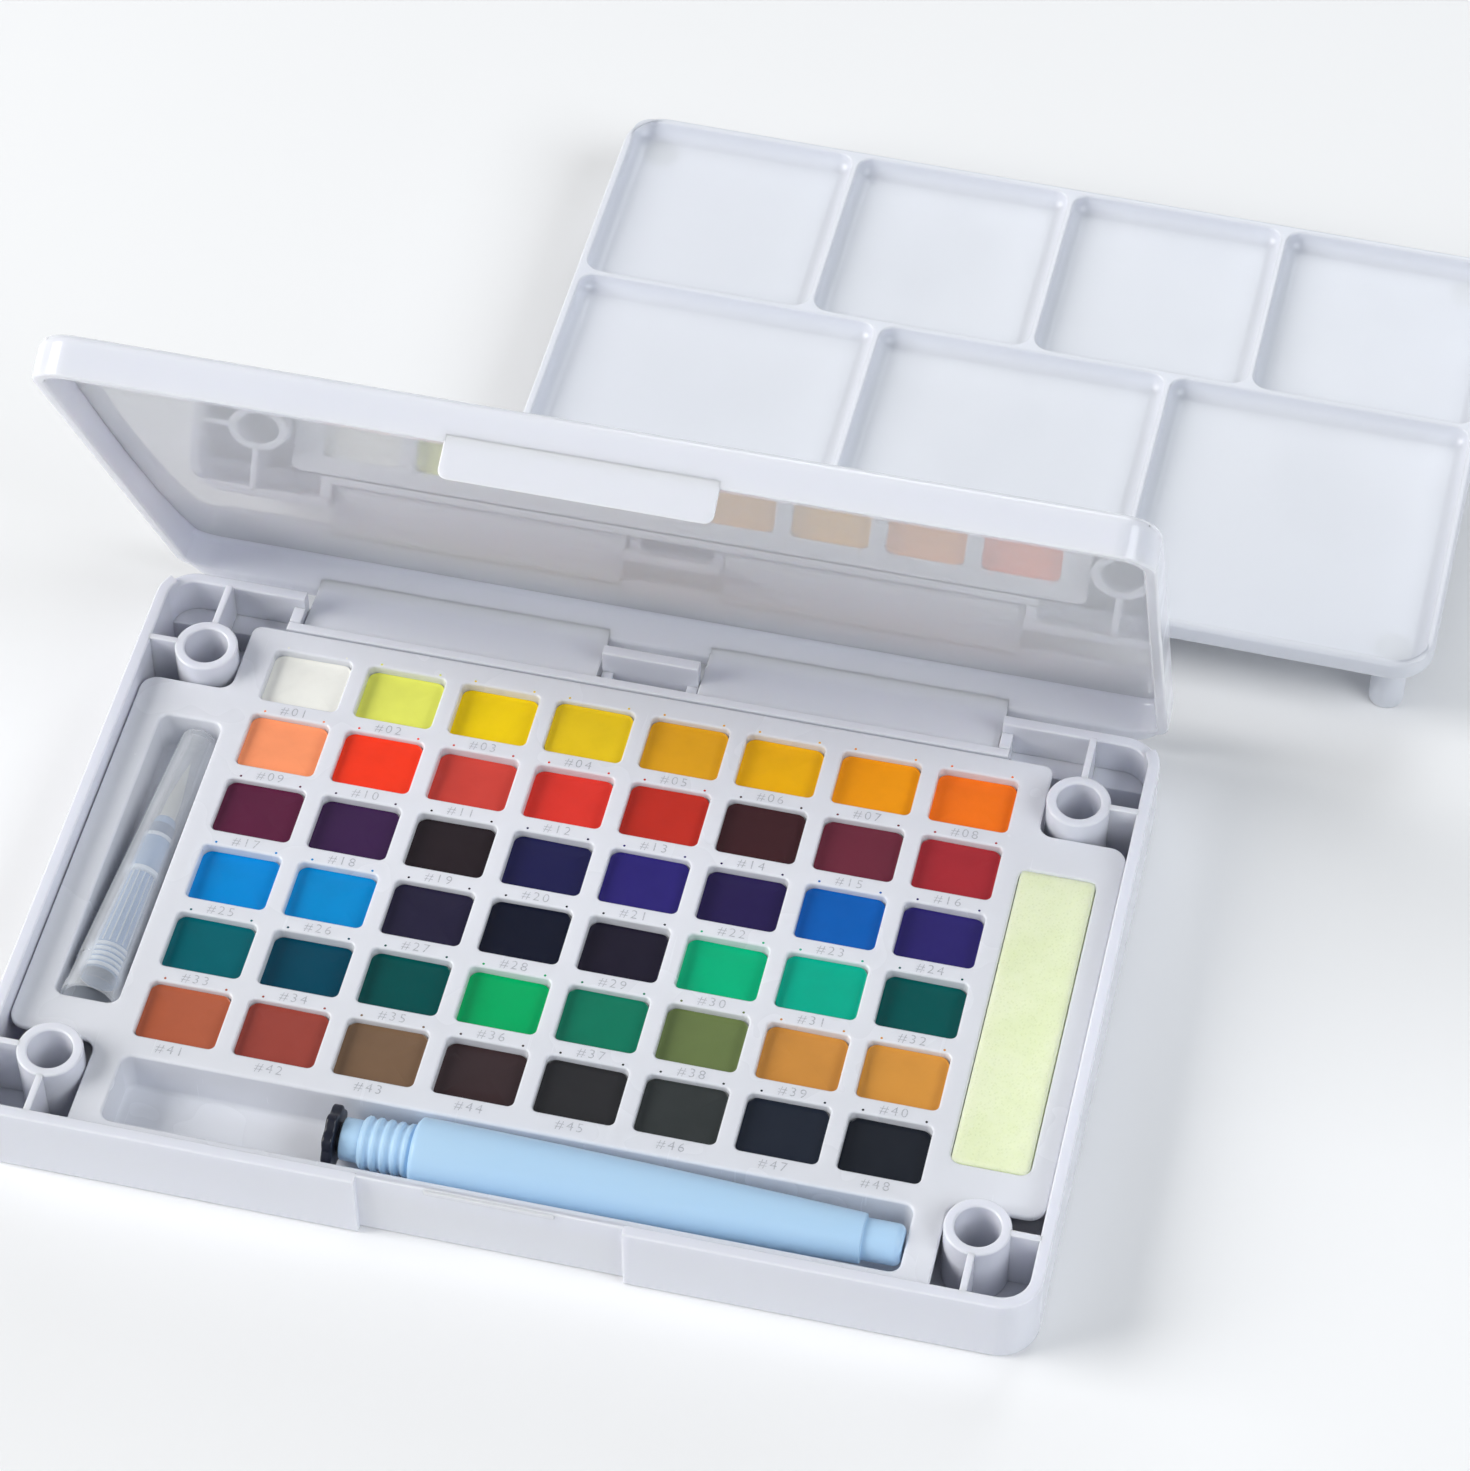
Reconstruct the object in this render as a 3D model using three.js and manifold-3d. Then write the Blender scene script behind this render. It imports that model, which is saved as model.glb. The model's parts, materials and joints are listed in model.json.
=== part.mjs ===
import * as THREE from 'three';
import { mergeVertices } from 'three/addons/utils/BufferGeometryUtils.js';
import Module from 'manifold-3d';

// Watercolor sketch box: a hinged plastic case with a tray of 48 paint pans, a water brush that
// is stored in two halves, a sponge, and a mixing palette that stands on four pegs beside it.
// Millimetres, +Z up. The origin is the middle of the case's underside, and the lid is hinged
// along the rear edge, on the +Y side.

// Fits and fineness
const PART_GAP = 0.3;
const OVERRUN = 1;
const WELD_DISTANCE = 0.0005;
const SHARPEST_CORNER = 0.2;
const LARGE_ARC_STEPS = 5;
const SMALL_ARC_STEPS = 2;
const ROUND_STEPS = 20;

// Case
const CASE_HEIGHT = 17.3;
const CASE_WALL = 2.5;
const CASE_FLOOR = 1.6;
const CASE_CORNER = 8;
const CASE_FOOT_ROUND = 0.8;
const CASE_RIM_ROUND = 0.3;
const CASE_LEDGE_HEIGHT = 7.2;
const CASE_LEDGE_DEPTH = 4.85;
const POST_RADIUS = 6.5;
const POST_BORE = 8.9;
const POST_CHAMFER = 0.5;
const POST_FROM_SIDE_WALL = 11.9;
const POST_FROM_REAR_WALL = 17.45;
const POST_FROM_FRONT_WALL = 14.45;
const POST_RIB = 1.4;

// Hinge between the case and the lid
const HINGE_BARREL_RADIUS = 4.25;
const HINGE_AXIS_HEIGHT = 7;
const HINGE_CENTRE = -1.5;
const HINGE_LEAF_LENGTH = 63.1;
const HINGE_BLOCK_LENGTH = 20.4;
const HINGE_BLOCK_HEIGHT = 10;
const HINGE_CHEEK = 2.4;
const HINGE_STRIP_WIDTH = 2.05;
const HINGE_STRIP_THICKNESS = 1.1;
const LEAF_BLEND_RADIUS = 7;
const HINGE_PIN_RADIUS = 1.4;
const HINGE_PIN_CLEARANCE = 0.35;
const HINGE_PIN_LENGTH = 2;
const SWING_RELIEF_DEPTH = 3.15;
const SWING_RELIEF_HEIGHT = 1.6;

// Lid
const LID_OPEN_ANGLE = THREE.MathUtils.degToRad(63.3);
const LID_SIDE_INSET = 0.2;
const LID_WALL = 2.4;
const LID_PLATE = 1.4;
const LID_DEPTH = 7.1;
const LID_TOP_ROUND = 2.2;
const LID_CEILING_ROUND = 1.2;
const TAB_LENGTH = 51.4;
const TAB_DROP = 5.7;
const TAB_THICKNESS = 0.75;
const TAB_CORNER = 1.8;
const TAB_CENTRE = 0.3;
const RECESS_DEPTH = 1.5;
const RECESS_SIDE_GAP = 0.4;
const BEAD_LENGTH = 25.6;
const BEAD_HEIGHT = 1.2;
const BEAD_CREST = 0.5;
const BEAD_PROUD = 0.35;
const BEAD_FROM_RIM = 0.8;

// Pan tray
const TRAY_DROP = 4.3;
const TRAY_PLATE = 1.2;
const TRAY_HINGE_GAP = 0.45;
const TRAY_LEFT_MARGIN = 6.6;
const TRAY_RIGHT_MARGIN = 4.6;
const TRAY_FRONT_MARGIN = 3.5;
const TRAY_BACK_MARGIN = 3.4;
const TRAY_INNER_FILLET = 2.8;
const TRAY_SIDE_CORNER = 3.5;
const TRAY_END_CORNER = 1.5;
const SLOT_WALL = 1;
const SLOT_CORNER = 2.2;
const CAP_SLOT_PLAY = 0.8;
const CAP_SLOT_END_PLAY = 1.9;
const CAP_SLOT_TIP_PLAY = 0.5;
const CAP_SLOT_LAND = 3.4;
const BARREL_SLOT_PLAY = 1.45;
const BARREL_SLOT_END_PLAY = 0.5;
const BARREL_SLOT_LAND = 3;
const BARREL_SLOT_SIDE_LAND = 6.1;
const SPONGE_LAND = 2.6;

// Paint pans
const PAN_COLUMNS = 8;
const PAN_ROWS = 6;
const WELL_LENGTH = 16.4;
const WELL_WIDTH = 13.6;
const WELL_CORNER = 1.3;
const WELL_LAND_ACROSS = 3.6;
const WELL_LAND_ALONG = 3.77;
const CUP_WALL = 0.9;
const CUP_FROM_FLOOR = 2.5;
const PAINT_DROP = 2;

// Sponge
const SPONGE_LENGTH = 71.5;
const SPONGE_WIDTH = 15;
const SPONGE_THICKNESS = 6.3;
const SPONGE_PROUD = 0.2;
const SPONGE_CORNER = 1.2;

// Water brush, barrel half
const BARREL_RADIUS = 7;
const BARREL_TAIL_RADIUS = 4.9;
const BARREL_BODY_LENGTH = 86.1;
const BARREL_TAPER_POWER = 1.6;
const BARREL_TAPER_STEPS = 6;
const BARREL_WALL = 0.9;
const KNOB_RADIUS = 4.1;
const KNOB_LENGTH = 8.1;
const KNOB_ROUND = 1.6;
const NECK_RADIUS = 4.2;
const NECK_LENGTH = 3.8;
const THREAD_RINGS = 5;
const THREAD_PITCH = 2.1;
const THREAD_RADIUS = 5.2;
const THREAD_GROOVE = 0.6;
const SHOULDER_LENGTH = 1.5;
const SHOULDER_GROOVE = 0.9;

// Plug in the barrel's neck
const PLUG_RADIUS = 6.1;
const PLUG_THICKNESS = 3.3;
const PLUG_LOBES = 10;
const PLUG_LOBE_DEPTH = 0.9;
const PLUG_POINTS_PER_LOBE = 4;
const PLUG_SLEEVE_LENGTH = 6;

// Water brush, head half, in its cap
const CAP_MOUTH_RADIUS = 6.1;
const CAP_TIP_RADIUS = 3.8;
const CAP_WALL = 0.8;
const CAP_TIP_SPACE = 6;
const CAP_TIP_ROUND = 0.9;
const CAP_SKEW = 1.4;
const HEAD_SET_BACK = 6.5;
const SKIRT_LENGTH = 9.2;
const SKIRT_BORE = 7;
const SKIRT_BORE_DEPTH = 12;
const GRIP_LENGTH = 18.3;
const GRIP_RIBS = 6;
const GRIP_RIB_DEPTH = 0.35;
const GRIP_TIP_RADIUS = 3.5;
const FLANGE_LENGTH = 1.2;
const TUBE_LENGTH = 8.3;
const TUBE_RADIUS = 3.1;
const COLLAR_LENGTH = 1.4;
const COLLAR_RADIUS = 3.4;
const NIB_LENGTH = 3.1;
const NIB_RADIUS = 2.6;
const NIB_TIP_RADIUS = 2.1;
const TUFT_LENGTH = 16.5;
const TUFT_RADIUS = 1.75;
const TUFT_ROOT_RADIUS = 1.3;
const TUFT_ROOT_LENGTH = 2.4;

// Mixing palette on its pegs
const PALETTE_CENTRE_X = 56.6;
const PALETTE_BEHIND_CASE = 29.2;
const PALETTE_TURN = THREE.MathUtils.degToRad(-0.9);
const PALETTE_WALL_HEIGHT = 4.9;
const PALETTE_CORNER = 8.5;
const PALETTE_EDGE_ROUND = 0.8;
const PALETTE_RIM = 1.8;
const PALETTE_DIVIDER = 1.4;
const PALETTE_WELL_DEPTH = 3.6;
const PALETTE_WELL_SLOPE = 4;
const PALETTE_WELL_CORNER = 4.4;
const PEG_LENGTH = 14.4;
const PEG_RADIUS = 3.65;
const PEG_TIP_ROUND = 0.6;
const PEG_FROM_SIDE = 8.45;
const PEG_FROM_FRONT = 7.8;

// Shares of the palette's length, from its left edge, and of its depth, from its rear edge
const REAR_DIVIDER_SHARES = [0.262, 0.508, 0.748];
const FRONT_DIVIDER_SHARES = [0.343, 0.664];
const MIDDLE_DIVIDER_SHARE = 0.421;

// Shares of the tuft's length and of its greatest radius, from the nib to near the point
const TUFT_BELLY_SHARES = [[0.08, 0.9], [0.3, 1], [0.6, 0.72], [0.85, 0.32]];

// Shares of a palette well's depth and of its slope's width, from the rim down to the flat floor
const WELL_SLOPE_SHARES = [[0, 0], [0.4, 0.12], [0.8, 0.45], [1, 1]];

// Colours
const CASE_COLOUR = 0xe4e6ee;
const TRAY_COLOUR = 0xe8eaf0;
const PALETTE_COLOUR = 0xe6e9f0;
const BARREL_COLOUR = 0xb4d4ee;
const CAP_COLOUR = 0xd4e0ea;
const HEAD_COLOUR = 0xc2d2e0;
const PLUG_COLOUR = 0x1c1e22;
const TUFT_COLOUR = 0xf0f0ec;
const SPONGE_COLOUR = 0xe2efa8;

// Paint names and colours, row by row from the rear left pan
const PAINTS = [
  ['white', 0xf2f2ea], ['lemon_yellow', 0xe4ea40], ['bright_yellow', 0xf8d410], ['deep_yellow', 0xf0cc20],
  ['yellow_ochre_light', 0xe8a820], ['golden_yellow', 0xf6b610],
  ['yellow_orange', 0xfa9e10], ['orange', 0xff7a1c],
  ['peach', 0xff9c6c], ['vermilion', 0xf83c20], ['muted_red', 0xcc3c30], ['scarlet', 0xe82c20],
  ['brick_red', 0xc03024], ['maroon_brown', 0x3c1c1c], ['plum', 0x6c2030], ['crimson', 0xa82028],
  ['purple_maroon', 0x541c34], ['dark_violet', 0x381c48],
  ['sepia_black', 0x282024], ['navy_violet', 0x20204c],
  ['ultramarine_violet', 0x28209c], ['blue_violet', 0x281c6c],
  ['cobalt_blue', 0x1850b8], ['indigo_blue', 0x302088],
  ['cerulean_blue', 0x1484d8], ['sky_blue', 0x1898e0], ['blue_grey', 0x28243c], ['blue_black', 0x141624],
  ['violet_black', 0x201c2c], ['emerald_green', 0x10c070],
  ['turquoise_green', 0x10b080], ['deep_teal', 0x085848],
  ['teal', 0x108070], ['dark_teal', 0x104c5c], ['dark_green', 0x085c3c], ['mid_green', 0x0ca44c],
  ['viridian_grey', 0x20804c], ['olive_green', 0x648428], ['ochre', 0xd08c30], ['yellow_ochre', 0xd49434],
  ['raw_sienna', 0xc4642c], ['red_brown', 0xa84028], ['umber', 0x745428], ['dark_sepia', 0x382420],
  ['charcoal', 0x242422], ['green_grey', 0x30342c], ['ink_blue', 0x16191f], ['black', 0x101214],
];

// Brush lengths
const BARREL_NECK_END = NECK_LENGTH + THREAD_RINGS * THREAD_PITCH;
const BARREL_BODY_START = BARREL_NECK_END + SHOULDER_LENGTH;
const BARREL_BODY_END = BARREL_BODY_START + BARREL_BODY_LENGTH;
const BARREL_LENGTH = BARREL_BODY_END + KNOB_LENGTH;
const NECK_BORE_RADIUS = NECK_RADIUS - BARREL_WALL;
const SKIRT_END = HEAD_SET_BACK + SKIRT_LENGTH;
const GRIP_END = SKIRT_END + GRIP_LENGTH;
const FLANGE_END = GRIP_END + FLANGE_LENGTH;
const TUBE_END = FLANGE_END + TUBE_LENGTH;
const COLLAR_END = TUBE_END + COLLAR_LENGTH;
const NIB_END = COLLAR_END + NIB_LENGTH;
const TUFT_END = NIB_END + TUFT_LENGTH;
const CAP_LENGTH = TUFT_END + CAP_TIP_SPACE;

// Layout from the pans outward: the pan grid and what lies around it set the case's size
const PAN_PITCH_ACROSS = WELL_LENGTH + WELL_LAND_ACROSS;
const PAN_PITCH_ALONG = WELL_WIDTH + WELL_LAND_ALONG;
const GRID_LENGTH = PAN_COLUMNS * PAN_PITCH_ACROSS;
const GRID_DEPTH = PAN_ROWS * PAN_PITCH_ALONG;
const CAP_SLOT_WIDTH = 2 * CAP_MOUTH_RADIUS + CAP_SLOT_PLAY;
const CAP_SLOT_LENGTH = CAP_LENGTH + CAP_SLOT_END_PLAY;
const BARREL_SLOT_WIDTH = 2 * BARREL_RADIUS + BARREL_SLOT_PLAY;
const SPONGE_RECESS_WIDTH = SPONGE_WIDTH + 2 * PART_GAP;
const SPONGE_RECESS_LENGTH = SPONGE_LENGTH + 2 * PART_GAP;
const TRAY_LEFT_BAND = TRAY_LEFT_MARGIN + CAP_SLOT_WIDTH + CAP_SLOT_LAND;
const TRAY_RIGHT_BAND = SPONGE_LAND + SPONGE_RECESS_WIDTH + TRAY_RIGHT_MARGIN;
const TRAY_FRONT_BAND = TRAY_FRONT_MARGIN + BARREL_SLOT_WIDTH + BARREL_SLOT_LAND;
const TRAY_LENGTH = TRAY_LEFT_BAND + GRID_LENGTH + TRAY_RIGHT_BAND;
const TRAY_DEPTH = TRAY_FRONT_BAND + GRID_DEPTH + TRAY_BACK_MARGIN;
const TRAY_FROM_OUTSIDE = CASE_WALL + PART_GAP;
const CASE_LENGTH = TRAY_LENGTH + 2 * TRAY_FROM_OUTSIDE;
const CASE_DEPTH = TRAY_FROM_OUTSIDE + TRAY_DEPTH + TRAY_HINGE_GAP + 2 * HINGE_BARREL_RADIUS;

// Places in the case
const CASE_RIGHT = CASE_LENGTH / 2;
const CASE_BACK = CASE_DEPTH / 2;
const INNER_RIGHT = CASE_RIGHT - CASE_WALL;
const INNER_BACK = CASE_BACK - CASE_WALL;
const POST_X = INNER_RIGHT - POST_FROM_SIDE_WALL;
const REAR_POST_Y = INNER_BACK - POST_FROM_REAR_WALL;
const FRONT_POST_Y = POST_FROM_FRONT_WALL - INNER_BACK;
const HINGE_AXIS_Y = CASE_BACK - HINGE_BARREL_RADIUS;
const LEAF_OPENING = HINGE_LEAF_LENGTH + 2 * PART_GAP;
const HINGE_HALF_SPAN = HINGE_BLOCK_LENGTH / 2 + LEAF_OPENING;
const LEAF_OFFSET = HINGE_BLOCK_LENGTH / 2 + LEAF_OPENING / 2;
const SWING_RELIEF_TOP = CASE_HEIGHT - SWING_RELIEF_HEIGHT;

// Places in the tray
const TRAY_TOP = CASE_HEIGHT - TRAY_DROP;
const TRAY_RIGHT = TRAY_LENGTH / 2;
const TRAY_FRONT = TRAY_FROM_OUTSIDE - CASE_BACK;
const TRAY_BACK = TRAY_FRONT + TRAY_DEPTH;
const CUTOUT_X = POST_X - POST_RADIUS - PART_GAP;
const REAR_CUTOUT_Y = REAR_POST_Y - POST_RADIUS - PART_GAP;
const FRONT_CUTOUT_Y = FRONT_POST_Y + POST_RADIUS + PART_GAP;
const SIDE_MIDDLE_Y = (REAR_CUTOUT_Y + FRONT_CUTOUT_Y) / 2;
const FIRST_PAN_X = TRAY_LEFT_BAND - TRAY_RIGHT + PAN_PITCH_ACROSS / 2;
const FIRST_PAN_Y = TRAY_BACK - TRAY_BACK_MARGIN - PAN_PITCH_ALONG / 2;
const WELL_FLOOR = CASE_FLOOR + CUP_FROM_FLOOR + CUP_WALL;
const SLOT_FLOOR = CASE_FLOOR + PART_GAP + SLOT_WALL;
const CAP_SLOT_X = TRAY_LEFT_MARGIN - TRAY_RIGHT + CAP_SLOT_WIDTH / 2;
const BARREL_SLOT_LENGTH = 2 * (CUTOUT_X - BARREL_SLOT_SIDE_LAND);
const BARREL_SLOT_Y = TRAY_FRONT + TRAY_FRONT_MARGIN + BARREL_SLOT_WIDTH / 2;
const SPONGE_X = TRAY_RIGHT - TRAY_RIGHT_MARGIN - SPONGE_RECESS_WIDTH / 2;
const SPONGE_TOP = TRAY_TOP + SPONGE_PROUD;
const SPONGE_RECESS_FLOOR = SPONGE_TOP - SPONGE_THICKNESS - PART_GAP;

// Places in the closed lid
const LID_RIM = CASE_HEIGHT + PART_GAP;
const LID_CEILING = LID_RIM + LID_DEPTH;
const LID_TOP = LID_CEILING + LID_PLATE;
const LID_LENGTH = CASE_LENGTH - 2 * LID_SIDE_INSET;
const LID_SWING_CENTRE = new THREE.Vector3(0, HINGE_AXIS_Y, HINGE_AXIS_HEIGHT);

// Places in the palette
const PEG_X = POST_X;
const PEG_Y = (REAR_POST_Y - FRONT_POST_Y) / 2;
const PALETTE_LENGTH = 2 * (PEG_X + PEG_FROM_SIDE);
const PALETTE_DEPTH = 2 * (PEG_Y + PEG_FROM_FRONT);
const PALETTE_TOP = PEG_LENGTH + PALETTE_WALL_HEIGHT;
const PALETTE_CENTRE_Y = CASE_BACK + PALETTE_BEHIND_CASE + PALETTE_DEPTH / 2;

const wasm = await Module();
wasm.setup();

// A geometry with only positions, its shared vertices merged and its collapsed faces left out.
function welded(geometry) {
  const bare = geometry.clone();
  bare.deleteAttribute('normal');
  bare.deleteAttribute('uv');
  const merged = mergeVertices(bare, WELD_DISTANCE);
  const faces = [];
  for (let i = 0; i < merged.index.count; i += 3) {
    const [a, b, c] = [0, 1, 2].map((k) => merged.index.getX(i + k));
    if (a !== b && b !== c && c !== a) faces.push(a, b, c);
  }
  merged.setIndex(faces);
  return merged;
}

function toSolid(geometry) {
  const mesh = welded(geometry);
  const vertProperties = new Float32Array(mesh.attributes.position.array);
  const triVerts = new Uint32Array(mesh.index.array);
  return new wasm.Manifold(new wasm.Mesh({ numProp: 3, vertProperties, triVerts }));
}

function toGeometry(solid) {
  const mesh = solid.getMesh();
  const geometry = new THREE.BufferGeometry();
  geometry.setAttribute('position', new THREE.BufferAttribute(mesh.vertProperties, 3));
  geometry.setIndex(new THREE.BufferAttribute(mesh.triVerts, 1));
  return geometry;
}

function joined(first, ...others) {
  return toGeometry(others.reduce((whole, other) => whole.add(toSolid(other)), toSolid(first)));
}

function cut(body, ...tools) {
  return toGeometry(tools.reduce((whole, tool) => whole.subtract(toSolid(tool)), toSolid(body)));
}

// Points along a closed outline whose corners, given as [x, y, radius], are rounded.
function roundedOutline(corners, steps) {
  const places = corners.map(([x, y]) => new THREE.Vector2(x, y));
  return corners.flatMap(([, , radius], i) => {
    const corner = places[i];
    const before = places[(i + places.length - 1) % places.length].clone().sub(corner).normalize();
    const after = places[(i + 1) % places.length].clone().sub(corner).normalize();
    const halfAngle = Math.acos(before.dot(after)) / 2;
    const toCentre = before.clone().add(after).normalize();
    const centre = corner.clone().addScaledVector(toCentre, radius / Math.sin(halfAngle));
    const start = corner.clone().addScaledVector(before, radius / Math.tan(halfAngle)).sub(centre);
    const turn = Math.sign(after.cross(before)) * (Math.PI - 2 * halfAngle);
    return Array.from({ length: steps + 1 }, (_, k) => (
      start.clone().rotateAround(new THREE.Vector2(), (turn * k) / steps).add(centre)
    ));
  });
}

// A rectangle with rounded corners, its middle at x, y.
function rectangle({ x = 0, y = 0, length, width, corner, steps = SMALL_ARC_STEPS }, inset = 0) {
  const right = length / 2 - inset;
  const back = width / 2 - inset;
  const radius = Math.max(corner - inset, SHARPEST_CORNER);
  return roundedOutline([
    [x - right, y - back, radius],
    [x + right, y - back, radius],
    [x + right, y + back, radius],
    [x - right, y + back, radius],
  ], steps);
}

// A closed body through level outlines with as many points each, given from the bottom up as
// { z, points }.
function stacked(levels) {
  const count = levels[0].points.length;
  const positions = levels.flatMap(({ z, points }) => points.flatMap((point) => [point.x, point.y, z]));
  const faces = [];
  for (let level = 0; level + 1 < levels.length; level += 1) {
    for (let i = 0; i < count; i += 1) {
      const a = level * count + i;
      const b = level * count + ((i + 1) % count);
      faces.push(a, b, b + count, a, b + count, a + count);
    }
  }
  const top = (levels.length - 1) * count;
  for (const [a, b, c] of THREE.ShapeUtils.triangulateShape(levels[0].points, [])) faces.push(a, c, b);
  for (const [a, b, c] of THREE.ShapeUtils.triangulateShape(levels.at(-1).points, [])) {
    faces.push(top + a, top + b, top + c);
  }
  const geometry = new THREE.BufferGeometry();
  geometry.setAttribute('position', new THREE.Float32BufferAttribute(positions, 3));
  geometry.setIndex(faces);
  return geometry;
}

function slab(points, bottom, top) {
  return stacked([{ z: bottom, points }, { z: top, points }]);
}

// A block on a rounded rectangle that is drawn in by an inset at each level, [height, inset].
function block(shape, levels) {
  return stacked(levels.map(([z, inset]) => ({ z, points: rectangle(shape, inset) })));
}

// A box between two corners.
function box(left, right, front, back, bottom, top) {
  const geometry = new THREE.BoxGeometry(right - left, back - front, top - bottom);
  return geometry.translate((left + right) / 2, (front + back) / 2, (bottom + top) / 2);
}

// A round body about the Y axis, from points [radius, height] that start and end on the axis.
function turned(profile) {
  return welded(new THREE.LatheGeometry(profile.map(([r, h]) => new THREE.Vector2(r, h)), ROUND_STEPS));
}

// A round bar along X whose left end is at x.
function roundBar(radius, length, x, y, z) {
  return new THREE.CylinderGeometry(radius, radius, length, ROUND_STEPS)
    .rotateZ(Math.PI / 2)
    .translate(x + length / 2, y, z);
}

// Levels [height, inset] of a quarter round that closes a block's top edge.
function topRound(top, radius, steps) {
  return Array.from({ length: steps + 1 }, (_, k) => {
    const angle = (Math.PI / 2) * (k / steps);
    return [top - radius * (1 - Math.sin(angle)), radius * (1 - Math.cos(angle))];
  });
}

// Levels of a quarter round that opens a block's bottom edge.
function bottomRound(bottom, radius, steps) {
  return topRound(0, radius, steps).reverse().map(([z, inset]) => [bottom - z, inset]);
}

function plastic(color, roughness = 0.35) {
  return new THREE.MeshStandardMaterial({ color, roughness, metalness: 0 });
}

function piece(name, geometry, material) {
  const mesh = new THREE.Mesh(geometry, material);
  mesh.name = name;
  return mesh;
}

// Centres of the leaf openings on the left and the right of the hinge's centre block.
const LEAF_CENTRES = [HINGE_CENTRE - LEAF_OFFSET, HINGE_CENTRE + LEAF_OFFSET];
const POST_PLACES = [
  [-POST_X, REAR_POST_Y], [POST_X, REAR_POST_Y], [-POST_X, FRONT_POST_Y], [POST_X, FRONT_POST_Y],
];

// The open box of the case: floor, walls and rounded foot.
function caseShell() {
  const outside = { length: CASE_LENGTH, width: CASE_DEPTH, corner: CASE_CORNER, steps: LARGE_ARC_STEPS };
  const inside = {
    length: 2 * INNER_RIGHT,
    width: 2 * INNER_BACK,
    corner: CASE_CORNER - CASE_WALL,
    steps: LARGE_ARC_STEPS,
  };
  const walls = block(outside, [
    ...bottomRound(0, CASE_FOOT_ROUND, SMALL_ARC_STEPS),
    ...topRound(CASE_HEIGHT, CASE_RIM_ROUND, 1),
  ]);
  return cut(walls, block(inside, [[CASE_FLOOR, 0], [CASE_HEIGHT + OVERRUN, 0]]));
}

// A post with its two ribs, to the nearest side wall and to the nearest front or rear wall.
function postWithRibs([x, y]) {
  const wallX = Math.sign(x) * (INNER_RIGHT + CASE_WALL / 2);
  const wallY = Math.sign(y) * (INNER_BACK + CASE_WALL / 2);
  const bottom = CASE_FLOOR / 2;
  const post = new THREE.CylinderGeometry(POST_RADIUS, POST_RADIUS, CASE_HEIGHT - bottom, ROUND_STEPS)
    .rotateX(Math.PI / 2)
    .translate(x, y, (CASE_HEIGHT + bottom) / 2);
  const half = POST_RIB / 2;
  const sideRib = box(Math.min(x, wallX), Math.max(x, wallX), y - half, y + half, bottom, CASE_HEIGHT);
  const endRib = box(x - half, x + half, Math.min(y, wallY), Math.max(y, wallY), bottom, CASE_HEIGHT);
  return joined(post, sideRib, endRib);
}

// The bore of a post, with its chamfered mouth.
function postBore([x, y]) {
  const radius = POST_BORE / 2;
  const mouth = radius + POST_CHAMFER;
  return turned([
    [0, CASE_FLOOR],
    [radius, CASE_FLOOR],
    [radius, CASE_HEIGHT - POST_CHAMFER],
    [mouth, CASE_HEIGHT],
    [mouth, CASE_HEIGHT + OVERRUN],
    [0, CASE_HEIGHT + OVERRUN],
  ]).rotateX(Math.PI / 2).translate(x, y, 0);
}

// The cheeks that carry the hinge pins, the strip that runs along them level with the tray, and
// the front wall of the centre block below it.
function hingeCheeks() {
  const left = HINGE_CENTRE - HINGE_HALF_SPAN;
  const right = HINGE_CENTRE + HINGE_HALF_SPAN;
  const blockLeft = HINGE_CENTRE - HINGE_BLOCK_LENGTH / 2;
  const blockRight = HINGE_CENTRE + HINGE_BLOCK_LENGTH / 2;
  const front = HINGE_AXIS_Y - HINGE_BARREL_RADIUS;
  const stripBack = front + HINGE_STRIP_WIDTH;
  const stripBottom = TRAY_TOP - HINGE_STRIP_THICKNESS;
  const rear = INNER_BACK + CASE_WALL / 2;
  const bottom = CASE_FLOOR / 2;
  return [
    box(left - HINGE_CHEEK, left, front, rear, bottom, TRAY_TOP),
    box(right, right + HINGE_CHEEK, front, rear, bottom, TRAY_TOP),
    box(blockLeft, blockLeft + HINGE_CHEEK, front, rear, bottom, HINGE_BLOCK_HEIGHT),
    box(blockRight - HINGE_CHEEK, blockRight, front, rear, bottom, HINGE_BLOCK_HEIGHT),
    box(blockLeft, blockRight, front, stripBack, bottom, TRAY_TOP),
    box(left - HINGE_CHEEK, right + HINGE_CHEEK, front, stripBack, stripBottom, TRAY_TOP),
  ];
}

// The ledges along the rear wall, from the end cheeks to the side walls.
function rearLedges() {
  const front = INNER_BACK - CASE_LEDGE_DEPTH;
  const rear = INNER_BACK + CASE_WALL / 2;
  const side = INNER_RIGHT + CASE_WALL / 2;
  const left = HINGE_CENTRE - HINGE_HALF_SPAN - HINGE_CHEEK / 2;
  const right = HINGE_CENTRE + HINGE_HALF_SPAN + HINGE_CHEEK / 2;
  return [
    box(-side, left, front, rear, CASE_FLOOR / 2, CASE_LEDGE_HEIGHT),
    box(right, side, front, rear, CASE_FLOOR / 2, CASE_LEDGE_HEIGHT),
  ];
}

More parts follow.
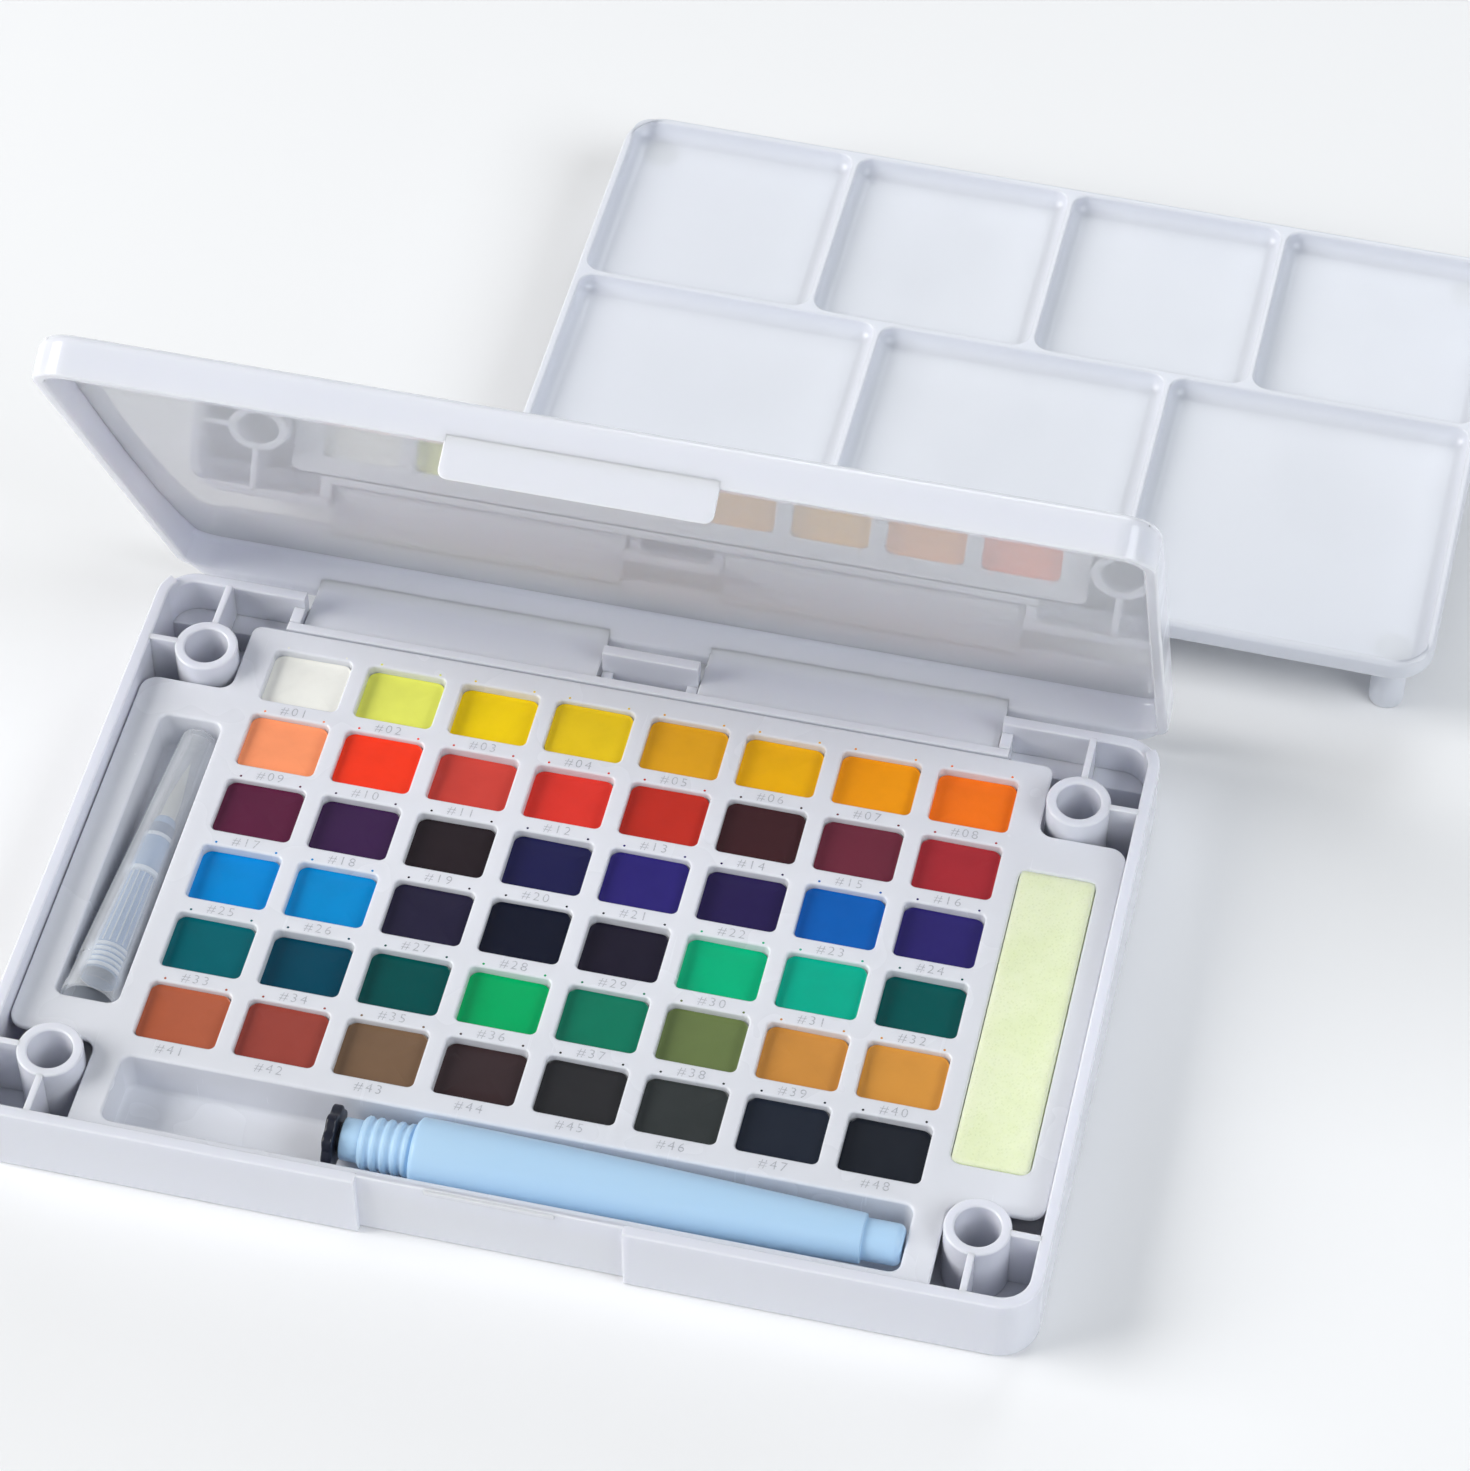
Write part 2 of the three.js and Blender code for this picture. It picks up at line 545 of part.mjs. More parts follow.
// The bead on the recessed front wall that the lid's tab snaps over.
function catchBead() {
  const wallFace = RECESS_DEPTH - CASE_BACK;
  const root = wallFace + (CASE_WALL - RECESS_DEPTH) / 2;
  const crest = wallFace - BEAD_PROUD;
  const middle = CASE_HEIGHT - BEAD_FROM_RIM;
  const section = [
    [root, middle - BEAD_HEIGHT / 2],
    [root, middle + BEAD_HEIGHT / 2],
    [wallFace, middle + BEAD_HEIGHT / 2],
    [crest, middle + BEAD_CREST / 2],
    [crest, middle - BEAD_CREST / 2],
    [wallFace, middle - BEAD_HEIGHT / 2],
  ];
  const points = section.map(([y, z]) => new THREE.Vector2(y, z));
  return alongX(points, TAB_CENTRE - BEAD_LENGTH / 2, TAB_CENTRE + BEAD_LENGTH / 2);
}

// A bar along X, from x = left to x = right, on an outline drawn in the Y-Z plane.
function alongX(points, left, right) {
  const geometry = new THREE.ExtrudeGeometry(new THREE.Shape(points), {
    depth: right - left,
    bevelEnabled: false,
  });
  const [x, y, z] = [new THREE.Vector3(1, 0, 0), new THREE.Vector3(0, 1, 0), new THREE.Vector3(0, 0, 1)];
  return geometry.applyMatrix4(new THREE.Matrix4().makeBasis(y, z, x)).translate(left, 0, 0);
}

// The cuts that let the lid's leaves, pins and tab into the case.
function caseCuts() {
  const leafGaps = LEAF_CENTRES.map((x) => box(
    x - LEAF_OPENING / 2,
    x + LEAF_OPENING / 2,
    INNER_BACK,
    CASE_BACK + OVERRUN,
    CASE_FLOOR,
    CASE_HEIGHT + OVERRUN,
  ));
  const pinHoles = LEAF_CENTRES.map((x) => roundBar(
    HINGE_PIN_RADIUS + HINGE_PIN_CLEARANCE,
    LEAF_OPENING + 2 * HINGE_PIN_LENGTH,
    x - LEAF_OPENING / 2 - HINGE_PIN_LENGTH,
    HINGE_AXIS_Y,
    HINGE_AXIS_HEIGHT,
  ));
  const swingRelief = box(
    -CASE_RIGHT - OVERRUN,
    CASE_RIGHT + OVERRUN,
    CASE_BACK - SWING_RELIEF_DEPTH,
    CASE_BACK + OVERRUN,
    SWING_RELIEF_TOP,
    CASE_HEIGHT + OVERRUN,
  );
  const recess = box(
    TAB_CENTRE - TAB_LENGTH / 2 - RECESS_SIDE_GAP,
    TAB_CENTRE + TAB_LENGTH / 2 + RECESS_SIDE_GAP,
    -CASE_BACK - OVERRUN,
    RECESS_DEPTH - CASE_BACK,
    -OVERRUN,
    CASE_HEIGHT + OVERRUN,
  );
  return [...leafGaps, ...pinHoles, swingRelief, recess];
}

function caseGeometry() {
  const fittings = [...POST_PLACES.map(postWithRibs), ...hingeCheeks(), ...rearLedges()];
  const body = cut(joined(caseShell(), ...fittings), ...POST_PLACES.map(postBore), ...caseCuts());
  return joined(body, catchBead());
}

// Outline of the tray's plate, with a corner cut out round each post.
function trayOutline() {
  const [fillet, side, end] = [TRAY_INNER_FILLET, TRAY_SIDE_CORNER, TRAY_END_CORNER];
  return roundedOutline([
    [-CUTOUT_X, TRAY_FRONT, end],
    [CUTOUT_X, TRAY_FRONT, end],
    [CUTOUT_X, FRONT_CUTOUT_Y, fillet],
    [TRAY_RIGHT, FRONT_CUTOUT_Y, side],
    [TRAY_RIGHT, REAR_CUTOUT_Y, side],
    [CUTOUT_X, REAR_CUTOUT_Y, fillet],
    [CUTOUT_X, TRAY_BACK, end],
    [-CUTOUT_X, TRAY_BACK, end],
    [-CUTOUT_X, REAR_CUTOUT_Y, fillet],
    [-TRAY_RIGHT, REAR_CUTOUT_Y, side],
    [-TRAY_RIGHT, FRONT_CUTOUT_Y, side],
    [-CUTOUT_X, FRONT_CUTOUT_Y, fillet],
  ], SMALL_ARC_STEPS);
}

// The hollows of the tray: the wells, then the two brush slots and the sponge recess.
function trayHollows() {
  const wells = panPlaces().map(({ x, y }) => ({
    shape: { x, y, length: WELL_LENGTH, width: WELL_WIDTH, corner: WELL_CORNER, steps: 1 },
    floor: WELL_FLOOR,
    wall: CUP_WALL,
  }));
  const slots = [
    {
      shape: { x: CAP_SLOT_X, y: SIDE_MIDDLE_Y, length: CAP_SLOT_WIDTH, width: CAP_SLOT_LENGTH },
      floor: SLOT_FLOOR,
    },
    {
      shape: { y: BARREL_SLOT_Y, length: BARREL_SLOT_LENGTH, width: BARREL_SLOT_WIDTH },
      floor: SLOT_FLOOR,
    },
    {
      shape: { x: SPONGE_X, y: SIDE_MIDDLE_Y, length: SPONGE_RECESS_WIDTH, width: SPONGE_RECESS_LENGTH },
      floor: SPONGE_RECESS_FLOOR,
    },
  ];
  return [
    ...wells,
    ...slots.map(({ shape, floor }) => (
      { shape: { ...shape, corner: SLOT_CORNER }, floor, wall: SLOT_WALL }
    )),
  ];
}

function panPlaces() {
  return PAINTS.map(([name, colour], i) => ({
    name: `paint_${String(i + 1).padStart(2, '0')}_${name}`,
    colour,
    x: FIRST_PAN_X + (i % PAN_COLUMNS) * PAN_PITCH_ACROSS,
    y: FIRST_PAN_Y - Math.floor(i / PAN_COLUMNS) * PAN_PITCH_ALONG,
  }));
}

function trayGeometry() {
  const plate = slab(trayOutline(), TRAY_TOP - TRAY_PLATE, TRAY_TOP);
  const hollows = trayHollows();
  const cups = hollows.map(({ shape, floor, wall }) => (
    block(shape, [[floor - wall, -wall], [TRAY_TOP - TRAY_PLATE / 2, -wall]])
  ));
  const cavities = hollows.map(({ shape, floor }) => block(shape, [[floor, 0], [TRAY_TOP + OVERRUN, 0]]));
  return cut(joined(plate, ...cups), ...cavities);
}

// A cake of paint, clear of its well all round.
function paintGeometry({ x, y }) {
  const shape = { x, y, length: WELL_LENGTH, width: WELL_WIDTH, corner: WELL_CORNER, steps: 1 };
  return block(shape, [[WELL_FLOOR + PART_GAP, PART_GAP], [TRAY_TOP - PAINT_DROP, PART_GAP]]);
}

function spongeGeometry() {
  const shape = {
    x: SPONGE_X,
    y: SIDE_MIDDLE_Y,
    length: SPONGE_WIDTH,
    width: SPONGE_LENGTH,
    corner: SPONGE_CORNER,
  };
  return block(shape, [[SPONGE_TOP - SPONGE_THICKNESS, 0], [SPONGE_TOP, 0]]);
}

// The lid's tray-shaped shell, drawn closed.
function lidShell() {
  const outside = { length: LID_LENGTH, width: CASE_DEPTH, corner: CASE_CORNER, steps: LARGE_ARC_STEPS };
  const inside = {
    length: LID_LENGTH - 2 * LID_WALL,
    width: CASE_DEPTH - 2 * LID_WALL,
    corner: CASE_CORNER - LID_WALL,
    steps: LARGE_ARC_STEPS,
  };
  const cover = block(outside, [[LID_RIM, 0], ...topRound(LID_TOP, LID_TOP_ROUND, SMALL_ARC_STEPS)]);
  const hollow = block(inside, [
    [LID_RIM - OVERRUN, 0],
    ...topRound(LID_CEILING, LID_CEILING_ROUND, SMALL_ARC_STEPS),
  ]);
  return cut(cover, hollow);
}

// A hinge leaf that hangs from the lid's rear wall, with its pins. Its face leaves the wall in a
// blend and runs on to meet the barrel, which turns on the hinge axis, as a tangent.
function hingeLeaf(centre) {
  const radius = HINGE_BARREL_RADIUS;
  const axis = new THREE.Vector2(HINGE_AXIS_Y, HINGE_AXIS_HEIGHT);
  const rim = new THREE.Vector2(CASE_BACK - LID_WALL, LID_RIM);
  const arm = rim.clone().sub(axis);
  const sweep = 2 * Math.PI - arm.angle() - Math.acos(radius / arm.length());
  const barrel = Array.from({ length: ROUND_STEPS + 1 }, (_, k) => (
    new THREE.Vector2(radius, 0).rotateAround(new THREE.Vector2(), -sweep * (k / ROUND_STEPS)).add(axis)
  ));
  const tangent = barrel.at(-1);
  const top = LID_RIM + LID_WALL;
  const cornerPoints = SMALL_ARC_STEPS + 1;
  const blend = roundedOutline([
    [rim.x, rim.y, LEAF_BLEND_RADIUS],
    [rim.x, top, SHARPEST_CORNER],
    [CASE_BACK, top, SHARPEST_CORNER],
    [tangent.x, tangent.y, SHARPEST_CORNER],
  ], SMALL_ARC_STEPS).slice(0, cornerPoints);
  const points = [
    new THREE.Vector2(CASE_BACK, top),
    ...barrel,
    ...blend,
    new THREE.Vector2(rim.x, top),
  ].reverse();
  const left = centre - HINGE_LEAF_LENGTH / 2;
  const pins = roundBar(
    HINGE_PIN_RADIUS,
    HINGE_LEAF_LENGTH + 2 * HINGE_PIN_LENGTH,
    left - HINGE_PIN_LENGTH,
    HINGE_AXIS_Y,
    HINGE_AXIS_HEIGHT,
  );
  return joined(alongX(points, left, left + HINGE_LEAF_LENGTH), pins);
}

// The thin tab on the lid's front edge that covers the recess in the case.
function frontTab() {
  const shape = roundedOutline([
    [TAB_CENTRE - TAB_LENGTH / 2, LID_RIM - TAB_DROP, TAB_CORNER],
    [TAB_CENTRE + TAB_LENGTH / 2, LID_RIM - TAB_DROP, TAB_CORNER],
    [TAB_CENTRE + TAB_LENGTH / 2, LID_RIM + LID_WALL, SHARPEST_CORNER],
    [TAB_CENTRE - TAB_LENGTH / 2, LID_RIM + LID_WALL, SHARPEST_CORNER],
  ], SMALL_ARC_STEPS);
  const front = -CASE_BACK;
  return slab(shape, -front - TAB_THICKNESS, -front).rotateX(Math.PI / 2);
}

// The lid, drawn closed about the hinge axis, which is its own origin.
function lidGeometry() {
  const lid = joined(lidShell(), ...LEAF_CENTRES.map(hingeLeaf), frontTab());
  return lid.translate(0, -LID_SWING_CENTRE.y, -LID_SWING_CENTRE.z);
}

// Left, right, front and rear edges of the palette's wells, at the rim.
function paletteWells() {
  const length = PALETTE_LENGTH - 2 * PALETTE_RIM;
  const edges = (shares) => [0, ...shares.map((share) => share * PALETTE_LENGTH - PALETTE_RIM), length];
  const middle = PALETTE_DEPTH / 2 - MIDDLE_DIVIDER_SHARE * PALETTE_DEPTH;
  const side = PALETTE_DEPTH / 2 - PALETTE_RIM;
  const rows = [
    { shares: REAR_DIVIDER_SHARES, front: middle + PALETTE_DIVIDER / 2, back: side },
    { shares: FRONT_DIVIDER_SHARES, front: -side, back: middle - PALETTE_DIVIDER / 2 },
  ];
  return rows.flatMap(({ shares, front, back }) => {
    const places = edges(shares).map((place) => place - length / 2);
    return places.slice(1).map((place, i) => ({
      left: places[i] + (i > 0 ? PALETTE_DIVIDER / 2 : 0),
      right: place - (i + 2 < places.length ? PALETTE_DIVIDER / 2 : 0),
      front,
      back,
    }));
  });
}

// A well of the palette, whose sides curve down to a flat floor.
function paletteWell({ left, right, front, back }) {
  const shape = {
    x: (left + right) / 2,
    y: (front + back) / 2,
    length: right - left,
    width: back - front,
    corner: PALETTE_WELL_CORNER,
  };
  const slope = WELL_SLOPE_SHARES.map(([depthShare, slopeShare]) => (
    [PALETTE_TOP - depthShare * PALETTE_WELL_DEPTH, slopeShare * PALETTE_WELL_SLOPE]
  ));
  return block(shape, [...slope.reverse(), [PALETTE_TOP + OVERRUN, 0]]);
}

function peg([x, y]) {
  const top = PALETTE_TOP - PALETTE_WELL_DEPTH - (PALETTE_WALL_HEIGHT - PALETTE_WELL_DEPTH) / 2;
  return turned([
    [0, 0],
    [PEG_RADIUS - PEG_TIP_ROUND, 0],
    [PEG_RADIUS, PEG_TIP_ROUND],
    [PEG_RADIUS, top],
    [0, top],
  ]).rotateX(Math.PI / 2).translate(x, y, 0);
}

function paletteGeometry() {
  const outside = {
    length: PALETTE_LENGTH,
    width: PALETTE_DEPTH,
    corner: PALETTE_CORNER,
    steps: LARGE_ARC_STEPS,
  };
  const plate = block(outside, [
    ...bottomRound(PEG_LENGTH, PALETTE_EDGE_ROUND, SMALL_ARC_STEPS),
    ...topRound(PALETTE_TOP, PALETTE_EDGE_ROUND, SMALL_ARC_STEPS),
  ]);
  const pegs = [[-PEG_X, PEG_Y], [PEG_X, PEG_Y], [-PEG_X, -PEG_Y], [PEG_X, -PEG_Y]].map(peg);
  return cut(joined(plate, ...pegs), ...paletteWells().map(paletteWell));
}

// The barrel's outer radius along its tapering body, as a share of the way to its tail.
function barrelRadius(share) {
  return BARREL_RADIUS - (BARREL_RADIUS - BARREL_TAIL_RADIUS) * share ** BARREL_TAPER_POWER;
}

// The barrel's body as [radius, height] points, drawn in by a wall.
function barrelBody(wall) {
  return Array.from({ length: BARREL_TAPER_STEPS + 1 }, (_, k) => {
    const share = k / BARREL_TAPER_STEPS;
    return [barrelRadius(share) - wall, BARREL_BODY_START + share * BARREL_BODY_LENGTH];
  });
}

// The rings of the thread on the barrel's neck.
function threadRings() {
  const root = THREAD_RADIUS - THREAD_GROOVE;
  const starts = Array.from({ length: THREAD_RINGS }, (_, k) => NECK_LENGTH + k * THREAD_PITCH);
  return starts.flatMap((start) => [
    [root, start],
    [THREAD_RADIUS, start + THREAD_PITCH / 4],
    [THREAD_RADIUS, start + THREAD_PITCH / 2],
    [root, start + (3 * THREAD_PITCH) / 4],
  ]);
}

// The water barrel, from its open neck along +Y to the knob at its tail.
function barrelGeometry() {
  const outside = turned([
    [0, 0],
    [NECK_RADIUS, 0],
    [NECK_RADIUS, NECK_LENGTH],
    ...threadRings(),
    [THREAD_RADIUS - THREAD_GROOVE, BARREL_NECK_END],
    [BARREL_RADIUS - SHOULDER_GROOVE, BARREL_NECK_END],
    ...barrelBody(0),
    [KNOB_RADIUS, BARREL_BODY_END],
    [KNOB_RADIUS, BARREL_LENGTH - KNOB_ROUND],
    [KNOB_RADIUS - KNOB_ROUND, BARREL_LENGTH],
    [0, BARREL_LENGTH],
  ]);
  const hollow = turned([
    [0, -OVERRUN],
    [NECK_BORE_RADIUS, -OVERRUN],
    [NECK_BORE_RADIUS, BARREL_NECK_END + BARREL_WALL],
    ...barrelBody(BARREL_WALL),
    [0, BARREL_BODY_END],
  ]);
  return cut(outside, hollow);
}

// The plug: a lobed disc in front of the neck and a sleeve inside it, along +Y.
function plugGeometry() {
  const count = PLUG_LOBES * PLUG_POINTS_PER_LOBE;
  const points = Array.from({ length: count }, (_, k) => {
    const angle = (2 * Math.PI * k) / count;
    const radius = PLUG_RADIUS - PLUG_LOBE_DEPTH * (0.5 - Math.cos(PLUG_LOBES * angle) / 2);
    return new THREE.Vector2(radius * Math.cos(angle), radius * Math.sin(angle));
  });
  const disc = slab(points, PART_GAP, PART_GAP + PLUG_THICKNESS).rotateX(Math.PI / 2);
  const sleeveRadius = NECK_BORE_RADIUS - PART_GAP;
  const sleeve = turned([
    [0, -PART_GAP - PLUG_THICKNESS / 2],
    [sleeveRadius, -PART_GAP - PLUG_THICKNESS / 2],
    [sleeveRadius, PLUG_SLEEVE_LENGTH],
    [0, PLUG_SLEEVE_LENGTH],
  ]);
  return joined(disc, sleeve);
}

// The cap's outer radius at a distance from its open end.
function capRadius(distance) {
  return CAP_MOUTH_RADIUS + (CAP_TIP_RADIUS - CAP_MOUTH_RADIUS) * (distance / CAP_LENGTH);
}

// The cap, from its open end along +Y to its closed tip.
function capGeometry() {
  const outside = turned([
    [0, 0],
    [CAP_MOUTH_RADIUS, 0],
    [capRadius(CAP_LENGTH - CAP_TIP_ROUND), CAP_LENGTH - CAP_TIP_ROUND],
    [CAP_TIP_RADIUS - CAP_TIP_ROUND, CAP_LENGTH],
    [0, CAP_LENGTH],
  ]);
  const innerEnd = CAP_LENGTH - CAP_WALL;
  const hollow = turned([
    [0, -OVERRUN],
    [capRadius(-OVERRUN) - CAP_WALL, -OVERRUN],
    [capRadius(innerEnd) - CAP_WALL, innerEnd],
    [0, innerEnd],
  ]);
  return cut(outside, hollow);
}

// The brush head, from its skirt along +Y to the nib, clear of the cap round it.
function headGeometry() {
  const skirtRadius = capRadius(SKIRT_END) - CAP_WALL - PART_GAP;
  const flangeRadius = capRadius(FLANGE_END) - CAP_WALL - PART_GAP;
  const gripPitch = GRIP_LENGTH / GRIP_RIBS;
  const gripRadius = (share) => skirtRadius - (skirtRadius - GRIP_TIP_RADIUS) * share - GRIP_RIB_DEPTH;
  const ribStarts = Array.from({ length: GRIP_RIBS }, (_, k) => SKIRT_END + k * gripPitch);
  const grip = ribStarts.flatMap((start, k) => [
    [gripRadius(k / GRIP_RIBS), start],
    [gripRadius(k / GRIP_RIBS) + GRIP_RIB_DEPTH / 2, start + gripPitch / 2],
    [gripRadius((k + 1) / GRIP_RIBS), start + gripPitch / 2],
  ]);
  const outside = turned([
    [0, HEAD_SET_BACK],
    [skirtRadius, HEAD_SET_BACK],
    [skirtRadius, SKIRT_END],
    ...grip,
    [gripRadius(1), GRIP_END],
    [flangeRadius, GRIP_END],
    [flangeRadius, FLANGE_END],
    [TUBE_RADIUS, FLANGE_END],
    [TUBE_RADIUS, TUBE_END],
    [COLLAR_RADIUS, TUBE_END],
    [COLLAR_RADIUS, COLLAR_END],
    [NIB_RADIUS, COLLAR_END],
    [NIB_TIP_RADIUS, NIB_END],
    [0, NIB_END],
  ]);
  const bore = turned([
    [0, HEAD_SET_BACK - OVERRUN],
    [SKIRT_BORE / 2, HEAD_SET_BACK - OVERRUN],
    [SKIRT_BORE / 2, HEAD_SET_BACK + SKIRT_BORE_DEPTH],
    [0, HEAD_SET_BACK + SKIRT_BORE_DEPTH],
  ]);
  const socketRadius = TUFT_ROOT_RADIUS + PART_GAP;
  const socketEnd = NIB_END - TUFT_ROOT_LENGTH - PART_GAP;
  const socket = turned([
    [0, socketEnd],
    [socketRadius, socketEnd],
    [socketRadius, NIB_END + OVERRUN],
    [0, NIB_END + OVERRUN],
  ]);
  return cut(outside, bore, socket);
}

// The tuft of bristles, from its root in the nib along +Y to its point.
function tuftGeometry() {
  return turned([
    [0, NIB_END - TUFT_ROOT_LENGTH],
    [TUFT_ROOT_RADIUS, NIB_END - TUFT_ROOT_LENGTH],
    [TUFT_ROOT_RADIUS, NIB_END + PART_GAP],
    ...TUFT_BELLY_SHARES.map(([along, across]) => [across * TUFT_RADIUS, NIB_END + along * TUFT_LENGTH]),
    [0, TUFT_END],
  ]);
}

// The case with what stays in it.
function caseGroup() {
  const group = new THREE.Group();
  group.add(piece('base_case', caseGeometry(), plastic(CASE_COLOUR, 0.3)));
  group.add(piece('pan_tray', trayGeometry(), plastic(TRAY_COLOUR, 0.35)));
  for (const pan of panPlaces()) {
    group.add(piece(pan.name, paintGeometry(pan), plastic(pan.colour, 0.25)));
  }
  group.add(piece('sponge', spongeGeometry(), plastic(SPONGE_COLOUR, 0.95)));
  return group;
}

// The lid, opened about the hinge axis.
function lidGroup() {
  const group = new THREE.Group();
  group.position.copy(LID_SWING_CENTRE);
  group.rotation.x = -LID_OPEN_ANGLE;
  group.add(piece('lid', lidGeometry(), plastic(CASE_COLOUR, 0.3)));
  return group;
}

// The barrel half of the brush, lying along the front slot with its knob to the right.
function barrelGroup() {
  const group = new THREE.Group();
  group.position.set(
    BARREL_SLOT_LENGTH / 2 - BARREL_SLOT_END_PLAY - BARREL_LENGTH,
    BARREL_SLOT_Y,
    SLOT_FLOOR + PART_GAP + BARREL_RADIUS,
  );
  group.rotation.z = -Math.PI / 2;
  group.add(piece('brush_barrel', barrelGeometry(), plastic(BARREL_COLOUR, 0.3)));
  group.add(piece('barrel_plug', plugGeometry(), plastic(PLUG_COLOUR, 0.45)));
  return group;
}

// The head half of the brush in its cap, which lies on its side in the left slot.
function headGroup() {
  const group = new THREE.Group();
  group.position.set(
    CAP_SLOT_X,
    SIDE_MIDDLE_Y + CAP_SLOT_LENGTH / 2 - CAP_LENGTH - CAP_SLOT_TIP_PLAY,
    SLOT_FLOOR + PART_GAP + CAP_MOUTH_RADIUS,
  );
  group.rotation.x = -Math.atan2(CAP_MOUTH_RADIUS - CAP_TIP_RADIUS, CAP_LENGTH);
  group.rotation.z = -Math.atan2(CAP_SKEW, CAP_LENGTH);
  group.add(piece('brush_cap', capGeometry(), plastic(CAP_COLOUR, 0.15)));
  group.add(piece('brush_head', headGeometry(), plastic(HEAD_COLOUR, 0.3)));
  group.add(piece('brush_tuft', tuftGeometry(), plastic(TUFT_COLOUR, 0.6)));
  return group;
}

// The mixing palette, standing on its pegs behind the case.
function paletteGroup() {
  const group = new THREE.Group();
  group.position.set(PALETTE_CENTRE_X, PALETTE_CENTRE_Y, 0);
  group.rotation.z = PALETTE_TURN;
  group.add(piece('palette', paletteGeometry(), plastic(PALETTE_COLOUR, 0.3)));
  return group;
}

const sketchBox = new THREE.Group();
sketchBox.add(caseGroup(), lidGroup(), barrelGroup(), headGroup(), paletteGroup());

export default sketchBox;
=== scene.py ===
import json
import math

import bmesh
import bpy
import numpy as np
from mathutils import Matrix, Vector
from mathutils.geometry import tessellate_polygon


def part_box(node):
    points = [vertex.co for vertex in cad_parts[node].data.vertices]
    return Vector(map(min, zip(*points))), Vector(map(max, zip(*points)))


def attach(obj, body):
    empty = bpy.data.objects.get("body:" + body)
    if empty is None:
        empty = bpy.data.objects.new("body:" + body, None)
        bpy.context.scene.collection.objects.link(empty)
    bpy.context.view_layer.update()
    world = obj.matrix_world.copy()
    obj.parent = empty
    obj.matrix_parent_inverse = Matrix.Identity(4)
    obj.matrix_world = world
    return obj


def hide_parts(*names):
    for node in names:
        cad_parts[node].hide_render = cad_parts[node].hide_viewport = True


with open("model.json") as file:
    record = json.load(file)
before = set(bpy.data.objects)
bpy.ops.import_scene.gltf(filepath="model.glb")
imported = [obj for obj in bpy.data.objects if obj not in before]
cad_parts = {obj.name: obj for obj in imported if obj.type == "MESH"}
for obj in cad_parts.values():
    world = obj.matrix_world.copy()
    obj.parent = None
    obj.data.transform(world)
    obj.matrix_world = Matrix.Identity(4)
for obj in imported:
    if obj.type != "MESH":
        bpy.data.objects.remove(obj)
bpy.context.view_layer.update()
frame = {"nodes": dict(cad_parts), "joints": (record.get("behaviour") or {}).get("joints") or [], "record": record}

# Watercolor sketch box: the looks of the case, lid, pan tray, paints, water brush, sponge and
# mixing palette. Lengths are in millimetres until a piece's mesh is made, and the finished
# pieces are in metres in the frame's own axes: X to the right, Y to the rear, Z up.

MM = 0.001

# Small steps that keep two faces of neighbouring shapes out of one plane
HAIR = 0.01
FACE_STEP = 0.02
SIDE_STEP = 0.03

# The least size of a round-cornered ring, and the metres within which a mesh's points merge and
# below which an edge is a sliver
LEAST_HALF = 0.02
LEAST_CORNER = 0.05
MERGE_REACH = 2e-7
SLIVER = 1e-8

# Case
CASE_WALL = 2.5
CASE_FLOOR = 1.6
CASE_CORNER = 8.0
CASE_FOOT_ROUND = 1.0
CASE_RIM_ROUND = 0.4
CASE_FLOOR_FILLET = 0.8
LEDGE_HEIGHT = 7.2
LEDGE_DEPTH = 4.85
POST_RADIUS = 6.5
POST_BORE_RADIUS = 4.45
POST_RIM_ROUND = 0.45
POST_FLOOR_RISE = 0.4
POST_FLOOR_FILLET = 0.6
POST_INSET = (11.9, 17.45, 14.45)  # to a post's axis from the side, the rear and the front wall
RIB_THICKNESS = 1.4
RIB_SUNK = 0.5
REAR_RIM_DROP = 1.6
REAR_RIM_DEPTH = 3.15
REAR_RIM_LAP = 2.0
BLOCK_FOOT = 0.8
WALL_STEP_RUN = 0.12
WALL_STEP_ANGLE = 0.008
CORNER_STATIONS = 11

# Hinge
HINGE_CENTRE = -1.5
BLOCK_LENGTH = 20.4
LEAF_LENGTH = 63.1
LEAF_GAP = 0.3
CHEEK_THICKNESS = 2.4
CHEEK_REACH = 2.1
CHEEK_TOP = 13.0
CHEEK_LOW_TOP = 10.0
STRIP_WIDTH = 2.05
STRIP_THICKNESS = 1.1
LEAF_BARREL_RADIUS = 4.25
PIN_RADIUS = 1.4
PIN_REACH = 2.0
PIN_ROUND = 0.3
LEAF_BLEND = 7.0
LEAF_TRIM = 0.4
LEAF_SKIN = 0.3
LEAF_SUNK = 0.4

# Lid, drawn closed
LID_WALL = 2.4
LID_PLATE = 1.4
LID_DEPTH = 7.1
LID_TOP_ROUND = 2.2
LID_CEILING_ROUND = 1.4
LID_RIM_ROUND = 0.5
LID_SIDE_INSET = 0.2
LID_BOW = 1.7
LID_CEILING_SUNK = 0.4
LID_REAR_DROP = 1.5
LID_GAP = 0.3
TAB_CENTRE = 0.3
TAB_LENGTH = 51.4
TAB_DROP = 6.8
TAB_THICKNESS = 0.75
TAB_CORNER = 1.8
TAB_BACK_ROUND = 0.2
TAB_FACE_ROUND = 0.25
RECESS_DEPTH = 1.5
RECESS_GAP = 0.4
BEAD_LENGTH = 25.6
BEAD_HEIGHT = 1.2
BEAD_PROUD = 0.35
BEAD_SUNK = 0.5
BEAD_ROUND = 0.3
BEAD_FROM_RIM = 0.8

